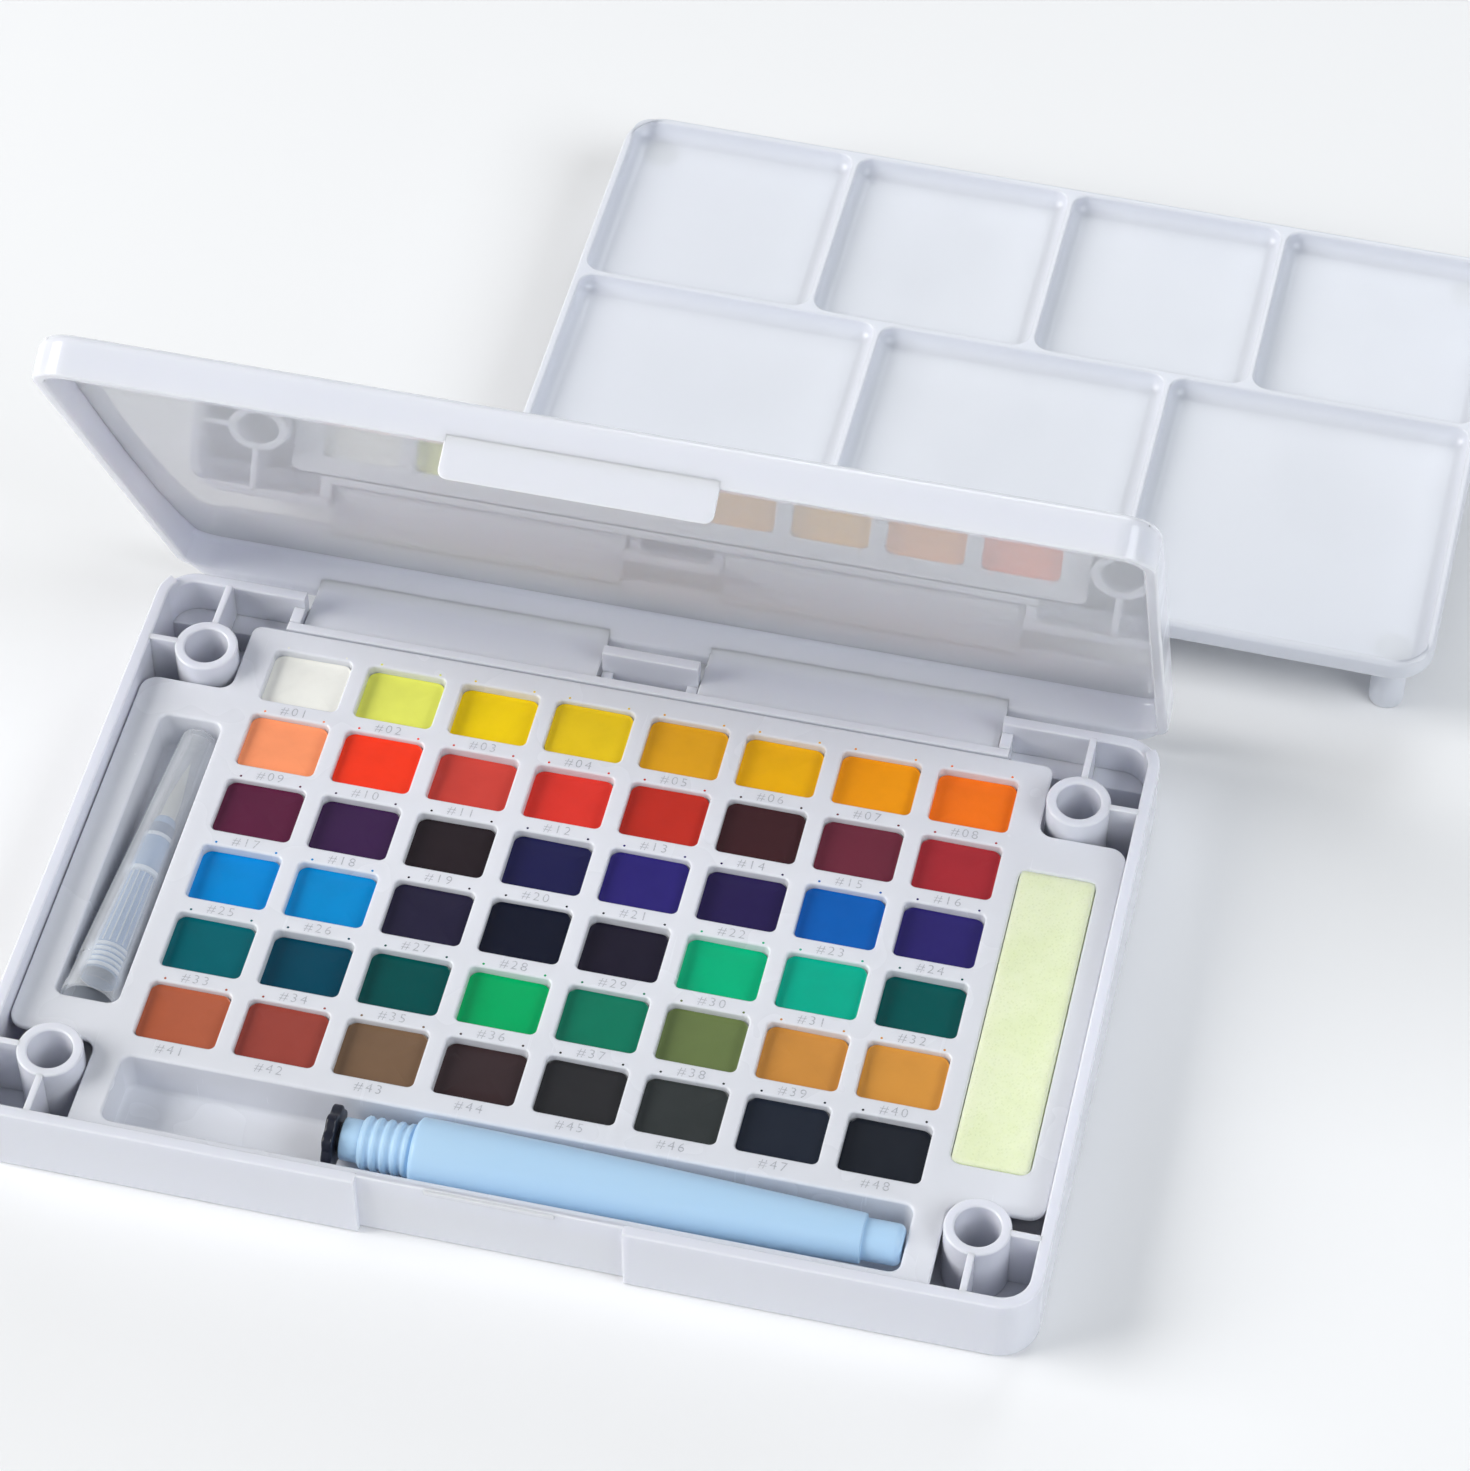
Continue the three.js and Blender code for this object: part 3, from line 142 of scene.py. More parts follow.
# Pan tray
TRAY_PLATE = 1.2
TRAY_POST_GAP = 0.3
TRAY_EDGE_ROUND = 0.45
TRAY_UNDER_ROUND = 0.15
TRAY_INNER_FILLET = 2.8
TRAY_SIDE_CORNER = 3.5
TRAY_END_CORNER = 2.2
WELL_LIP = 0.45
WELL_LENGTH = 16.4
WELL_WIDTH = 13.6
WELL_CORNER = 1.3
WELL_FLOOR = 5.0
WELL_FLOOR_FILLET = 0.9
WELL_DRAFT = 0.2
CUP_WALL = 0.9
CUP_ROUND = 0.8
SLOT_LIP = 0.6
SLOT_CORNER = 2.2
SLOT_FLOOR = 2.9
SLOT_WALL = 1.0
CAP_SLOT = (-96.3, -83.3, -37.7, 34.7)
BARREL_SLOT = (-78.4, 78.4, -64.36, -48.91)
SPONGE_RECESS = (82.7, 98.3, -37.55, 34.55)
SPONGE_RECESS_FLOOR = 6.6
NUMBER_HEIGHT = 2.1
NUMBER_CAPITAL_SHARE = 0.7
NUMBER_SPACING = 1.3
NUMBER_FROM_WELL = 2.1
NUMBER_THINNING = 0.03
INK_HEIGHT = 0.015
SPOT_RADIUS = 0.26
SPOT_HEIGHT = 0.03
SPOT_PLACES = ((-5.9, 7.55), (6.6, 7.5))

# Paint cakes
CAKE_GAP = 0.06
CAKE_CORNER = 2.0
CAKE_LEVELS = (-0.4, 0.75)
CAKE_DOME = 0.3
CAKE_BRIM = 0.42
CAKE_BRIM_REACH = 0.45
CAKE_BRIM_WIDTH = 1.4
CAKE_BRIM_CROWDING = 1.6
CAKE_FOOT = 0.8
CAKE_BRIM_DROP = 0.3
CAKE_TOP_START = 0.5
CAKE_TOP_END = 0.97
CAKE_WAVES = ((0.10, 2.2, 0.0), (0.08, 0.0, 2.6), (0.03, 5.0, 3.0))
CAKE_SINK = (0.1, 0.45)
CAKE_SINK_FROM = 0.72

# Sponge
SPONGE_EDGE_ROUND = 0.7
SPONGE_SPREAD = (0.2, 0.2, 0.0)
SPONGE_GRID = (18, 80, 9)
SPONGE_WAVE_TURNS = (2.9, 2.3, 3.1)
SPONGE_WAVE_STARTS = (1.0, 0.0, 2.0)
SPONGE_DIMPLE = 0.06
SPONGE_SETTLE = 0.05

# Palette
PALETTE_CORNER = 8.5
PALETTE_EDGE_ROUND = 0.9
PALETTE_RIM = 1.8
PALETTE_DIVIDER = 1.4
PALETTE_LIP = 0.5
PALETTE_LIP_ROUND = 0.49
PALETTE_UNDER_REACH = 4.0
PALETTE_WELL_DEPTH = 3.6
PALETTE_WELL_SLOPE = 3.2
PALETTE_WELL_CORNER = 3.4
PALETTE_TURN = math.radians(-0.9)
PALETTE_SIZE = (199.5, 120.04)
PEG_PLACE = (91.3, 52.21)
PEG_LENGTH = 14.4
PEG_RADIUS = 3.65
PEG_TIP_ROUND = 0.7
PEG_SUNK = 0.6
REAR_DIVIDER_SHARES = (0.262, 0.508, 0.748)
FRONT_DIVIDER_SHARES = (0.343, 0.664)
MIDDLE_DIVIDER_SHARE = 0.421

# Water brush; its profiles are (radius, distance along the axis, rounding)
BARREL_AXIS = (-32.1, -56.635, 10.2)
BARREL_MOUTH = ((3.4, 0, 0), (4.2, 0, 0.3), (4.2, 3.8, 0), (4.6, 3.8, 0))
THREAD_TURNS = 5
THREAD_START = 3.8
THREAD_PITCH = 2.1
THREAD_TURN = ((4.85, 0.2, 0.2), (5.3, 0.7, 0.3), (5.3, 1.3, 0.3), (4.85, 1.8, 0.2))
BARREL_SHOULDER = ((4.6, 14.3, 0), (6.1, 14.3, 0.3), (6.9, 15.0, 0.4), (7.0, 15.8, 0))
BARREL_BODY_RADIUS = 7.0
BARREL_BODY_TAPER = 2.1
BARREL_BODY_CURVE = 1.6
BARREL_BODY_START = 15.8
BARREL_BODY_LENGTH = 86.1
BARREL_KNOB = ((4.9, 102.2, 0.2), (4.1, 102.3, 0.2), (4.1, 110.0, 1.6), (0.4, 110.0, 0))
BARREL_WALL = 0.9
BARREL_END = ((0.4, 101.0), (3.6, 101.0))
BARREL_NECK_BORE = ((3.3, 15.2), (3.3, 0.2))
BARREL_MOUTH_BEVEL = ((3.3, 0.2), (3.4, 0.0))
PLUG_LOBES = 8
PLUG_RADIUS = 6.35
PLUG_LOBE_DEPTH = 0.4
PLUG_DISC = ((-2, -2.9, 0), (0, -2.9, 0.5), (0, -0.8, 0.5), (-2, -0.8, 0))
PLUG_SLEEVE = ((0, -1.0, 0), (3.0, -1.0, 0), (3.0, 6.0, 0.4), (0, 6.0, 0))
CAP_MOUTH = (-89.8, -36.3, 9.3)
CAP_LENGTH = 70.5
CAP_RADII = (6.1, 3.8)
CAP_WALL = 0.8
CAP_SKEW = 1.4
CAP_RING = (2.4, 2.6, 9.0, 9.2)
CAP_RING_DEPTH = 0.18
CAP_MOUTH_ROUND = 0.25
CAP_TIP = 0.3
CAP_TIP_ROUND = 0.9
CAP_INNER_ROUND = 0.6
HEAD_SKIRT_AT = 12.7
HEAD_SKIRT_GAP = 0.3
HEAD_SKIRT = ((-0.45, 6.5, 0), (-0.45, 13.0, 0.1), (-0.9, 13.4, 0.2), (-1.5, 32.4, 0.2))
HEAD_TUBE = ((3.25, 32.8, 0), (3.15, 42.0, 0), (2.75, 42.6, 0.1))
HEAD_NIB = ((2.6, 45.6, 0.3), (2.1, 48.0, 0.4), (1.5, 48.0, 0))
HEAD_BORE = ((1.5, 46.0), (0.2, 46.0))
HEAD_SOCKET = ((0.2, 18.5), (3.5, 18.5), (3.5, 6.5))
HEAD_RINGS = 5
HEAD_RING_PITCH = 1.3
HEAD_RING_ENDS = (6.6, 7.3)
HEAD_RING_DEPTH = 0.7
HEAD_RING_ROUND = 0.2
HEAD_COLLARS = ((32.2, 33.2, 4.0, 3.0), (41.8, 42.7, 3.35, 2.6))
HEAD_RIBS = 16
HEAD_RIB_CREST = 0.34
HEAD_RIB_FOOT = 0.06
HEAD_RIB_INSET = 0.93
HEAD_RIB_TAPER = 0.6
HEAD_RIB_START = 13.3
HEAD_RIB_LENGTH = 19.0
FERRULE = ((2.2, 42.6, 0), (2.85, 42.6, 0.1), (2.75, 45.9, 0.5), (2.2, 45.9, 0))
TUFT_STRANDS = 360
TUFT_RADIUS = 1.25
TUFT_START = 45.9
TUFT_LENGTH = 18.5
TUFT_SWELL = 0.35
TUFT_SHORTENING = 0.35
STRAND_RADIUS = 0.055
STRAND_TAPER = 0.75

# Stage and light
FLOOR_HALF = 6.0
FLOOR_SHADES = ((0.9, 0.905, 0.915, 1), (0.92, 0.925, 0.935, 1))
FLOOR_ROUGHNESS = 0.9
LIGHT_TARGET = (0, 0.04, 0.02)
SOFT_BOXES = (
    ("key_soft_box", (-2.1, -0.5, 1.3), 1.5, 61.0, (1.0, 0.985, 0.96)),
    ("right_soft_box", (1.6, -0.6, 1.5), 1.3, 26.0, (0.94, 0.97, 1.0)),
    ("back_soft_box", (0.2, 2.0, 1.5), 1.3, 18.0, (0.94, 0.97, 1.0)),
    ("front_soft_box", (0.1, -2.0, 1.3), 1.3, 4.0, (0.94, 0.97, 1.0)),
)
SURROUND_TINT = (0.93, 0.97, 1.0, 1.0)
SURROUND_STRENGTH = 0.1

# Camera, placed as in the photograph
CAMERA_TARGET = (0.01908, 0.0567, 0.011)
CAMERA_AZIMUTH = math.radians(12.947)
CAMERA_ELEVATION = math.radians(50.962)
CAMERA_DISTANCE = 1.0156
CAMERA_LENS = 121.5
CAMERA_SENSOR = 36.0
CAMERA_REACH = 50.0


# Shapes

class Surface:
    """Points and faces gathered from rings, fans and flat fills, in millimetres."""

    def __init__(self):
        self.points = []
        self.faces = []
        self.count = 0

    def add(self, points, faces, flip=False):
        """Adds faces, given as rows of point numbers, turned over if flip is true."""
        rows = np.asarray(faces)[:, ::-1] if flip else np.asarray(faces)
        self.points.append(np.asarray(points, float))
        self.faces.extend((rows + self.count).tolist())
        self.count += len(points)

    def add_rings(self, rings, closed_start=False, closed_end=False, flip=False):
        """Joins rings of points, shaped (levels, around, 3), and closes an end to its middle."""
        levels, around = rings.shape[:2]
        here = np.arange(levels - 1)[:, None] * around + np.arange(around)[None, :]
        beside = np.arange(levels - 1)[:, None] * around + (np.arange(around)[None, :] + 1) % around
        quads = np.stack([here, beside, beside + around, here + around], -1).reshape(-1, 4)
        self.add(rings.reshape(-1, 3), quads, flip)
        step = np.arange(around)
        for wanted, ring, turn in ((closed_start, rings[0], True), (closed_end, rings[-1], False)):
            if wanted:
                fan = np.stack([step, (step + 1) % around, np.full(around, around)], -1)
                self.add(np.vstack([ring, ring.mean(0)]), fan, turn != flip)

    def add_fill(self, outlines, height, down=False):
        """Fills the flat area inside the first outline and outside the others."""
        points = np.concatenate(outlines)
        loops = [[(x, y, 0.0) for x, y in outline] for outline in outlines]
        faces = np.array(tessellate_polygon(loops))
        a, b, c = (points[faces[:, k]] for k in range(3))
        area = (b[:, 0] - a[:, 0]) * (c[:, 1] - a[:, 1]) - (b[:, 1] - a[:, 1]) * (c[:, 0] - a[:, 0])
        faces[area < 0] = faces[area < 0][:, ::-1]
        self.add(np.column_stack([points, np.full(len(points), height)]), faces[area != 0], down)

    def move(self, matrix):
        """Turns and shifts all points by a 4 by 4 matrix."""
        turn = np.array(matrix)
        self.points = [points @ turn[:3, :3].T + turn[:3, 3] for points in self.points]
        return self

    def join(self, other):
        """Takes in another surface's points and faces."""
        self.points.extend(other.points)
        self.faces.extend([[k + self.count for k in face] for face in other.faces])
        self.count += other.count
        return self


def rounded_path(corners, steps=5, closed=False):
    """Points along straight runs whose corners [a, b, radius] are arcs.

    The arc's centre lies radius / sin(half) from the corner, on the line that halves the angle
    between the two runs, and the arc turns through pi - 2 * half.
    """
    places = np.array([corner[:2] for corner in corners], float)
    path = []
    for k, (a, b, radius) in enumerate(corners):
        inside = closed or 0 < k < len(corners) - 1
        if not inside or radius == 0:
            path.append([(a, b)])
            continue
        before = places[k - 1] - places[k]
        after = places[(k + 1) % len(places)] - places[k]
        before, after = before / np.linalg.norm(before), after / np.linalg.norm(after)
        half = math.acos(np.clip(before @ after, -1, 1)) / 2
        middle = (before + after) / np.linalg.norm(before + after)
        centre = places[k] + middle * radius / math.sin(half)
        start = places[k] + before * radius / math.tan(half) - centre
        turn = np.sign(after[0] * before[1] - after[1] * before[0]) * (math.pi - 2 * half)
        angle = turn * np.linspace(0, 1, steps + 1)
        path.append(centre + np.column_stack([
            start[0] * np.cos(angle) - start[1] * np.sin(angle),
            start[0] * np.sin(angle) + start[1] * np.cos(angle),
        ]))
    return np.concatenate([np.asarray(part, float) for part in path])


def outward_of(outline):
    """Unit directions square to a closed anticlockwise outline, from its neighbours' chord."""
    chord = np.roll(outline, -1, 0) - np.roll(outline, 1, 0)
    across = np.column_stack([chord[:, 1], -chord[:, 0]])
    return across / np.linalg.norm(across, axis=1)[:, None]


class Oblong:
    """A rectangle with round corners, between left, right, front and back."""

    def __init__(self, left, right, front, back, corner, arc=6):
        self.middle = np.array([(left + right) / 2, (front + back) / 2])
        self.half = np.array([(right - left) / 2, (back - front) / 2])
        self.corner = corner
        quarter = np.linspace(0, math.pi / 2, arc + 1)
        angle = np.concatenate([quarter + k * math.pi / 2 for k in (2, 3, 0, 1)])
        self.circle = np.column_stack([np.cos(angle), np.sin(angle)])
        self.sign = np.repeat(np.array([[-1, -1], [1, -1], [1, 1], [-1, 1]]), arc + 1, 0)

    def ring(self, offset):
        """Corner centres plus radius times (cos a, sin a), after moving the sides by offset."""
        half = np.maximum(self.half + offset, LEAST_HALF)
        radius = min(max(self.corner + offset, LEAST_CORNER), half.min())
        return self.middle + self.sign * (half - radius) + radius * self.circle

    def rings(self, profile):
        """Rings at each (offset, height) of a profile."""
        return np.stack([
            np.column_stack([self.ring(offset), np.full(len(self.circle), height)])
            for offset, height in profile
        ])


def turned_rings(profile, steps=64):
    """Rings about the Z axis at each (radius, height): radius * (cos a, sin a), height."""
    angle = np.linspace(0, 2 * math.pi, steps, endpoint=False)
    radius, height = np.asarray(profile, float).T
    return np.stack([
        radius[:, None] * np.cos(angle),
        radius[:, None] * np.sin(angle),
        np.repeat(height[:, None], steps, 1),
    ], -1)


def soft_block(left, right, front, back, bottom, top, edge=0.25):
    """A block with rounded edges: round-cornered rings drawn in along a quarter arc at each end."""
    profile = rounded_path([
        (-2 * edge, bottom, 0), (0, bottom, edge), (0, top, edge), (-2 * edge, top, 0),
    ], 3)
    surface = Surface()
    surface.add_rings(Oblong(left, right, front, back, edge, 3).rings(profile), True, True)
    return surface


def turned_solid(profile, steps):
    """A profile turned about the Z axis and closed to the axis at both ends."""
    surface = Surface()
    surface.add_rings(turned_rings(profile, steps), True, True)
    return surface


def turned_band(profile, steps=64):
    """A ring turned about the Z axis from a profile that is joined back to its own start."""
    surface = Surface()
    surface.add_rings(turned_rings(np.vstack([profile, profile[:1]]), steps))
    return surface


def in_mm(box):
    """The low and the high corner of a box given in metres."""
    return np.array([list(corner) for corner in box]) / MM


def along_x(outline, left, right, edge=0.2):
    """A bar along X on an anticlockwise outline in the Y-Z plane, its ends drawn in by an edge."""
    surface = Surface()
    out = outward_of(outline)
    stations = [(-edge, left), (0, left + edge), (0, right - edge), (-edge, right)]
    rings = np.stack([
        np.column_stack([outline + out * offset, np.full(len(outline), place)])
        for offset, place in stations
    ])
    surface.add_rings(rings)
    surface.add_fill([rings[0][:, :2]], left, down=True)
    surface.add_fill([rings[-1][:, :2]], right)
    return surface.move([[0, 0, 1, 0], [1, 0, 0, 0], [0, 1, 0, 0], [0, 0, 0, 1]])


def make_piece(name, surface, material, body, nodes, sharp=32, weighted=True):
    """Makes the mesh in metres, merges shared points, shades it and ties it to the frame."""
    mesh = bpy.data.meshes.new(name)
    mesh.from_pydata((np.concatenate(surface.points) * MM).tolist(), [], surface.faces)
    form = bmesh.new()
    form.from_mesh(mesh)
    bmesh.ops.remove_doubles(form, verts=form.verts, dist=MERGE_REACH)
    bmesh.ops.dissolve_degenerate(form, edges=form.edges, dist=SLIVER)
    form.to_mesh(mesh)
    form.free()
    mesh.shade_smooth()
    mesh.set_sharp_from_angle(angle=math.radians(sharp))
    mesh.materials.append(material)
    piece = bpy.data.objects.new(name, mesh)
    bpy.context.scene.collection.objects.link(piece)
    if weighted:
        modifier = piece.modifiers.new("even_shading", "WEIGHTED_NORMAL")
        modifier.keep_sharp = True
    if nodes:
        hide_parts(*nodes)
    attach(piece, body)
    return piece


# Materials

def linear(value):
    """The linear value of a display value."""
    return value / 12.92 if value <= 0.04045 else ((value + 0.055) / 1.055) ** 2.4


def colour(red, green, blue):
    """A linear colour with full alpha from display values from 0 to 255."""
    return tuple(linear(channel / 255) for channel in (red, green, blue)) + (1.0,)


def group_of(name, inputs, outputs):
    """An empty node group with named inputs, given with their first values, and outputs."""
    group = bpy.data.node_groups.new(name, "ShaderNodeTree")
    for label, kind, value in inputs:
        socket = group.interface.new_socket(label, in_out="INPUT", socket_type=kind)
        socket.default_value = value
    for label, kind in outputs:
        group.interface.new_socket(label, in_out="OUTPUT", socket_type=kind)
    start = group.nodes.new("NodeGroupInput")
    end = group.nodes.new("NodeGroupOutput")
    return group, start, end


def give(tree, socket, value):
    """Sets a socket to a plain value, or links another socket to it."""
    if isinstance(value, (int, float, tuple)):
        socket.default_value = value
    else:
        tree.links.new(value, socket)


def noise(tree, scale, detail, rough, vector):
    """Cloudy noise with a number of features per metre."""
    node = tree.nodes.new("ShaderNodeTexNoise")
    for label, value in (("Scale", scale), ("Detail", detail), ("Roughness", rough), ("Vector", vector)):
        give(tree, node.inputs[label], value)
    return node.outputs["Fac"]


def spread(tree, value, low, high, to_low=0.0, to_high=1.0):
    """Maps a value smoothly from low..high to to_low..to_high, which may be sockets."""
    node = tree.nodes.new("ShaderNodeMapRange")
    node.interpolation_type = "SMOOTHSTEP"
    tree.links.new(value, node.inputs["Value"])
    for label, given in (("From Min", low), ("From Max", high), ("To Min", to_low), ("To Max", to_high)):
        give(tree, node.inputs[label], given)
    return node.outputs["Result"]


def maths(tree, operation, first, second):
    """Adds, subtracts, multiplies or compares two values."""
    node = tree.nodes.new("ShaderNodeMath")
    node.operation = operation
    give(tree, node.inputs[0], first)
    give(tree, node.inputs[1], second)
    return node.outputs["Value"]


def mixed(tree, factor, first, second):
    """Mixes two colours by a factor."""
    node = tree.nodes.new("ShaderNodeMix")
    node.data_type = "RGBA"
    for label, given in (("Factor", factor), ("A", first), ("B", second)):
        kind = "VALUE" if label == "Factor" else "RGBA"
        socket = next(s for s in node.inputs if s.name == label and s.type == kind and s.enabled)
        give(tree, socket, given)
    return next(s for s in node.outputs if s.type == "RGBA")


def stretched(tree, vector, scale, turn):
    """Places stretched by a scale along each axis and turned."""
    node = tree.nodes.new("ShaderNodeMapping")
    node.inputs["Scale"].default_value = scale
    node.inputs["Rotation"].default_value = turn
    tree.links.new(vector, node.inputs["Vector"])
    return node.outputs["Vector"]


SURFACE_OUTPUTS = (
    ("Colour", "NodeSocketColor"), ("Roughness", "NodeSocketFloat"), ("Height", "NodeSocketFloat"),
)

# Patterns as (features per metre, detail, roughness) of a noise, stretches as (scale, turn), and
# pores as cells per metre
FLOW_CLOUDS = (14.0, 3.0, 0.55)
DUST_SPECKS = (2600.0, 1.0, 0.5)
SMUDGES = (45.0, 2.0, 0.5)
MOULD_GRAIN = (1100.0, 2.0, 0.5)
MOULD_RIPPLE = (60.0, 1.0, 0.4)
HAIRLINES = (1.0, 2.0, 0.6)
HAIRLINE_STRETCH = ((900.0, 26.0, 60.0), (0.0, 0.0, 0.5))
POOLS = (170.0, 3.0, 0.55)
PIGMENT = (3800.0, 2.0, 0.6)
POURING = (1.0, 2.0, 0.5)
POURING_STRETCH = ((180.0, 90.0, 120.0), (0.0, 0.0, 0.35))
FOAM_MOTTLING = (90.0, 3.0, 0.6)
FOAM_GRAIN = (2400.0, 2.0, 0.6)
FOAM_FINE_PORES = 1500.0
FOAM_WIDE_PORES = 520.0
CLEAR_FLOW = (120.0, 2.0, 0.5)
CLEAR_RIPPLE = (300.0, 2.0, 0.5)
INK_STRIKE = (2200.0, 2.0, 0.6)
FLOOR_CLOUDS = (2.0, 2.0, 0.5)

# Shades and strengths
DUST_GREY = (0.45, 0.44, 0.42, 1.0)
PLASTIC_IOR = 1.5
PLASTIC_BUMP_REACH = 0.0002
CAKE_IOR = 1.3
CAKE_BUMP = (0.12, 0.0003)
CAKE_POOL_SHADE = 0.85
FOAM_SHADES = ((238, 247, 208), (232, 242, 198))
# The colour of the painted shade in the middle of the sponge's pores
FOAM_PAINTED_PORE_SHADE = (206, 220, 158)
FOAM_BUMP = (0.28, 0.0003)
CLEAR_FLOW_SHADE = 0.86
CLEAR_BUMP = (0.08, 0.0002)
INK_SHADES = ((172, 175, 184), (206, 208, 216))


def make_moulding_group():
    """Moulded plastic: faint flow clouds in the colour, fine grain, and hairline handling marks."""
    group, start, end = group_of(
        "moulded_surface",
        [
            ("Colour", "NodeSocketColor", (0.8, 0.8, 0.8, 1.0)),
            ("Cloud Colour", "NodeSocketColor", (0.7, 0.7, 0.75, 1.0)),
            ("Clouds", "NodeSocketFloat", 0.2),
            ("Gloss Roughness", "NodeSocketFloat", 0.2),
            ("Worn Roughness", "NodeSocketFloat", 0.35),
            ("Position", "NodeSocketVector", (0.0, 0.0, 0.0)),
        ],
        SURFACE_OUTPUTS,
    )
    place = start.outputs["Position"]
    flow = spread(group, noise(group, *FLOW_CLOUDS, place), 0.35, 0.7)
    cloud = maths(group, "MULTIPLY", flow, start.outputs["Clouds"])
    tinted = mixed(group, cloud, start.outputs["Colour"], start.outputs["Cloud Colour"])
    speck = spread(group, noise(group, *DUST_SPECKS, place), 0.74, 0.82, 0.0, 0.10)
    dusted = mixed(group, speck, tinted, DUST_GREY)
    marks = noise(group, *HAIRLINES, stretched(group, place, *HAIRLINE_STRETCH))
    hairline = spread(group, marks, 0.66, 0.72)
    smudge = spread(group, noise(group, *SMUDGES, place), 0.4, 0.7)
    line_wear, smudge_wear = maths(group, "MULTIPLY", hairline, 0.4), maths(group, "MULTIPLY", smudge, 0.6)
    wear = maths(group, "MAXIMUM", line_wear, smudge_wear)
    gloss, worn = start.outputs["Gloss Roughness"], start.outputs["Worn Roughness"]
    rough = spread(group, wear, 0.0, 1.0, gloss, worn)
    grain = maths(group, "MULTIPLY", noise(group, *MOULD_GRAIN, place), 0.25)
    ripple = maths(group, "MULTIPLY", noise(group, *MOULD_RIPPLE, place), 0.5)
    scratch = maths(group, "MULTIPLY", hairline, 0.06)
    height = maths(group, "SUBTRACT", maths(group, "ADD", grain, ripple), scratch)
    for label, result in (("Colour", dusted), ("Roughness", rough), ("Height", height)):
        group.links.new(result, end.inputs[label])
    return group


def make_cake_group():
    """Dried watercolour: pooled colour, fine pigment grains and slow ripples from pouring."""
    group, start, end = group_of(
        "paint_cake",
        [
            ("Colour", "NodeSocketColor", (0.5, 0.1, 0.1, 1.0)),
            ("Deep Colour", "NodeSocketColor", (0.3, 0.05, 0.05, 1.0)),
            ("Pooling", "NodeSocketFloat", 0.35),
            ("Position", "NodeSocketVector", (0.0, 0.0, 0.0)),
        ],
        SURFACE_OUTPUTS,
    )
    place = start.outputs["Position"]
    colour_in, deep_in = start.outputs["Colour"], start.outputs["Deep Colour"]
    pool = spread(group, noise(group, *POOLS, place), 0.35, 0.75)
    pooled = mixed(group, maths(group, "MULTIPLY", pool, start.outputs["Pooling"]), colour_in, deep_in)
    grains = noise(group, *PIGMENT, place)
    grained = mixed(group, spread(group, grains, 0.55, 0.8, 0.0, 0.22), pooled, deep_in)
    streaks = noise(group, *POURING, stretched(group, place, *POURING_STRETCH))
    rough = spread(group, streaks, 0.3, 0.75, 0.1, 0.2)
    grain, ripple = maths(group, "MULTIPLY", grains, 0.05), maths(group, "MULTIPLY", streaks, 0.5)
    height = maths(group, "ADD", grain, ripple)
    for label, result in (("Colour", grained), ("Roughness", rough), ("Height", height)):
        group.links.new(result, end.inputs[label])
    return group


def new_material(name):
    """A material with its Principled shader and the piece's own Object coordinates."""
    material = bpy.data.materials.new(name)
    material.use_nodes = True
    tree = material.node_tree
    shader = next(node for node in tree.nodes if node.type == "BSDF_PRINCIPLED")
    place = tree.nodes.new("ShaderNodeTexCoord").outputs["Object"]
    return material, tree, shader, place


def bumped(tree, height, shader, strength, distance):
    """Raises the shader's surface by a height, over a distance in metres."""
    node = tree.nodes.new("ShaderNodeBump")
    node.inputs["Strength"].default_value = strength
    node.inputs["Distance"].default_value = distance
    tree.links.new(height, node.inputs["Height"])
    tree.links.new(node.outputs["Normal"], shader.inputs["Normal"])


def from_group(name, group, values, strength, distance):
    """A material whose colour, roughness and bump come from a group, given the group's values."""
    material, tree, shader, place = new_material(name)
    node = tree.nodes.new("ShaderNodeGroup")
    node.node_tree = group
    for label, value in values.items():
        node.inputs[label].default_value = value
    tree.links.new(place, node.inputs["Position"])
    tree.links.new(node.outputs["Colour"], shader.inputs["Base Color"])
    tree.links.new(node.outputs["Roughness"], shader.inputs["Roughness"])
    bumped(tree, node.outputs["Height"], shader, strength, distance)
    return material, shader


def glowing(shader, share, depth, radius):
    """Lets a share of the light spread inside the plastic, a depth in metres times each radius."""
    shader.inputs["Subsurface Weight"].default_value = share
    shader.inputs["Subsurface Radius"].default_value = radius
    shader.inputs["Subsurface Scale"].default_value = depth


def moulded(name, base, cloud, clouds, rough, bump, glow=0.0, deep=0.003, radius=(1.0, 0.95, 1.0)):
    """Moulded plastic with its own tint, gloss and grain, and light that spreads inside it."""
    values = {
        "Colour": colour(*base), "Cloud Colour": colour(*cloud), "Clouds": clouds,
        "Gloss Roughness": rough[0], "Worn Roughness": rough[1],
    }
    material, shader = from_group(name, MOULDING, values, bump, PLASTIC_BUMP_REACH)
    shader.inputs["IOR"].default_value = PLASTIC_IOR
    glowing(shader, glow, deep, radius)
    return material


def deepened(tint, share):
    """A linear colour darkened to a share of itself."""
    return tuple(channel * share for channel in tint[:3]) + (1.0,)


def cake_material(name, base):
    """A paint's own cake: its colour, and a deeper one where it pooled."""
    values = {"Colour": base, "Deep Colour": deepened(base, CAKE_POOL_SHADE)}
    material, shader = from_group(name, CAKE, values, *CAKE_BUMP)
    shader.inputs["IOR"].default_value = CAKE_IOR
    return material


def pores(tree, place, scale, open_to):
    """Round cells, a number per metre: nought at each cell's middle, one from open_to outwards."""
    cells = tree.nodes.new("ShaderNodeTexVoronoi")
    cells.inputs["Scale"].default_value = scale
    tree.links.new(place, cells.inputs["Vector"])
    return spread(tree, cells.outputs["Distance"], 0.0, open_to)


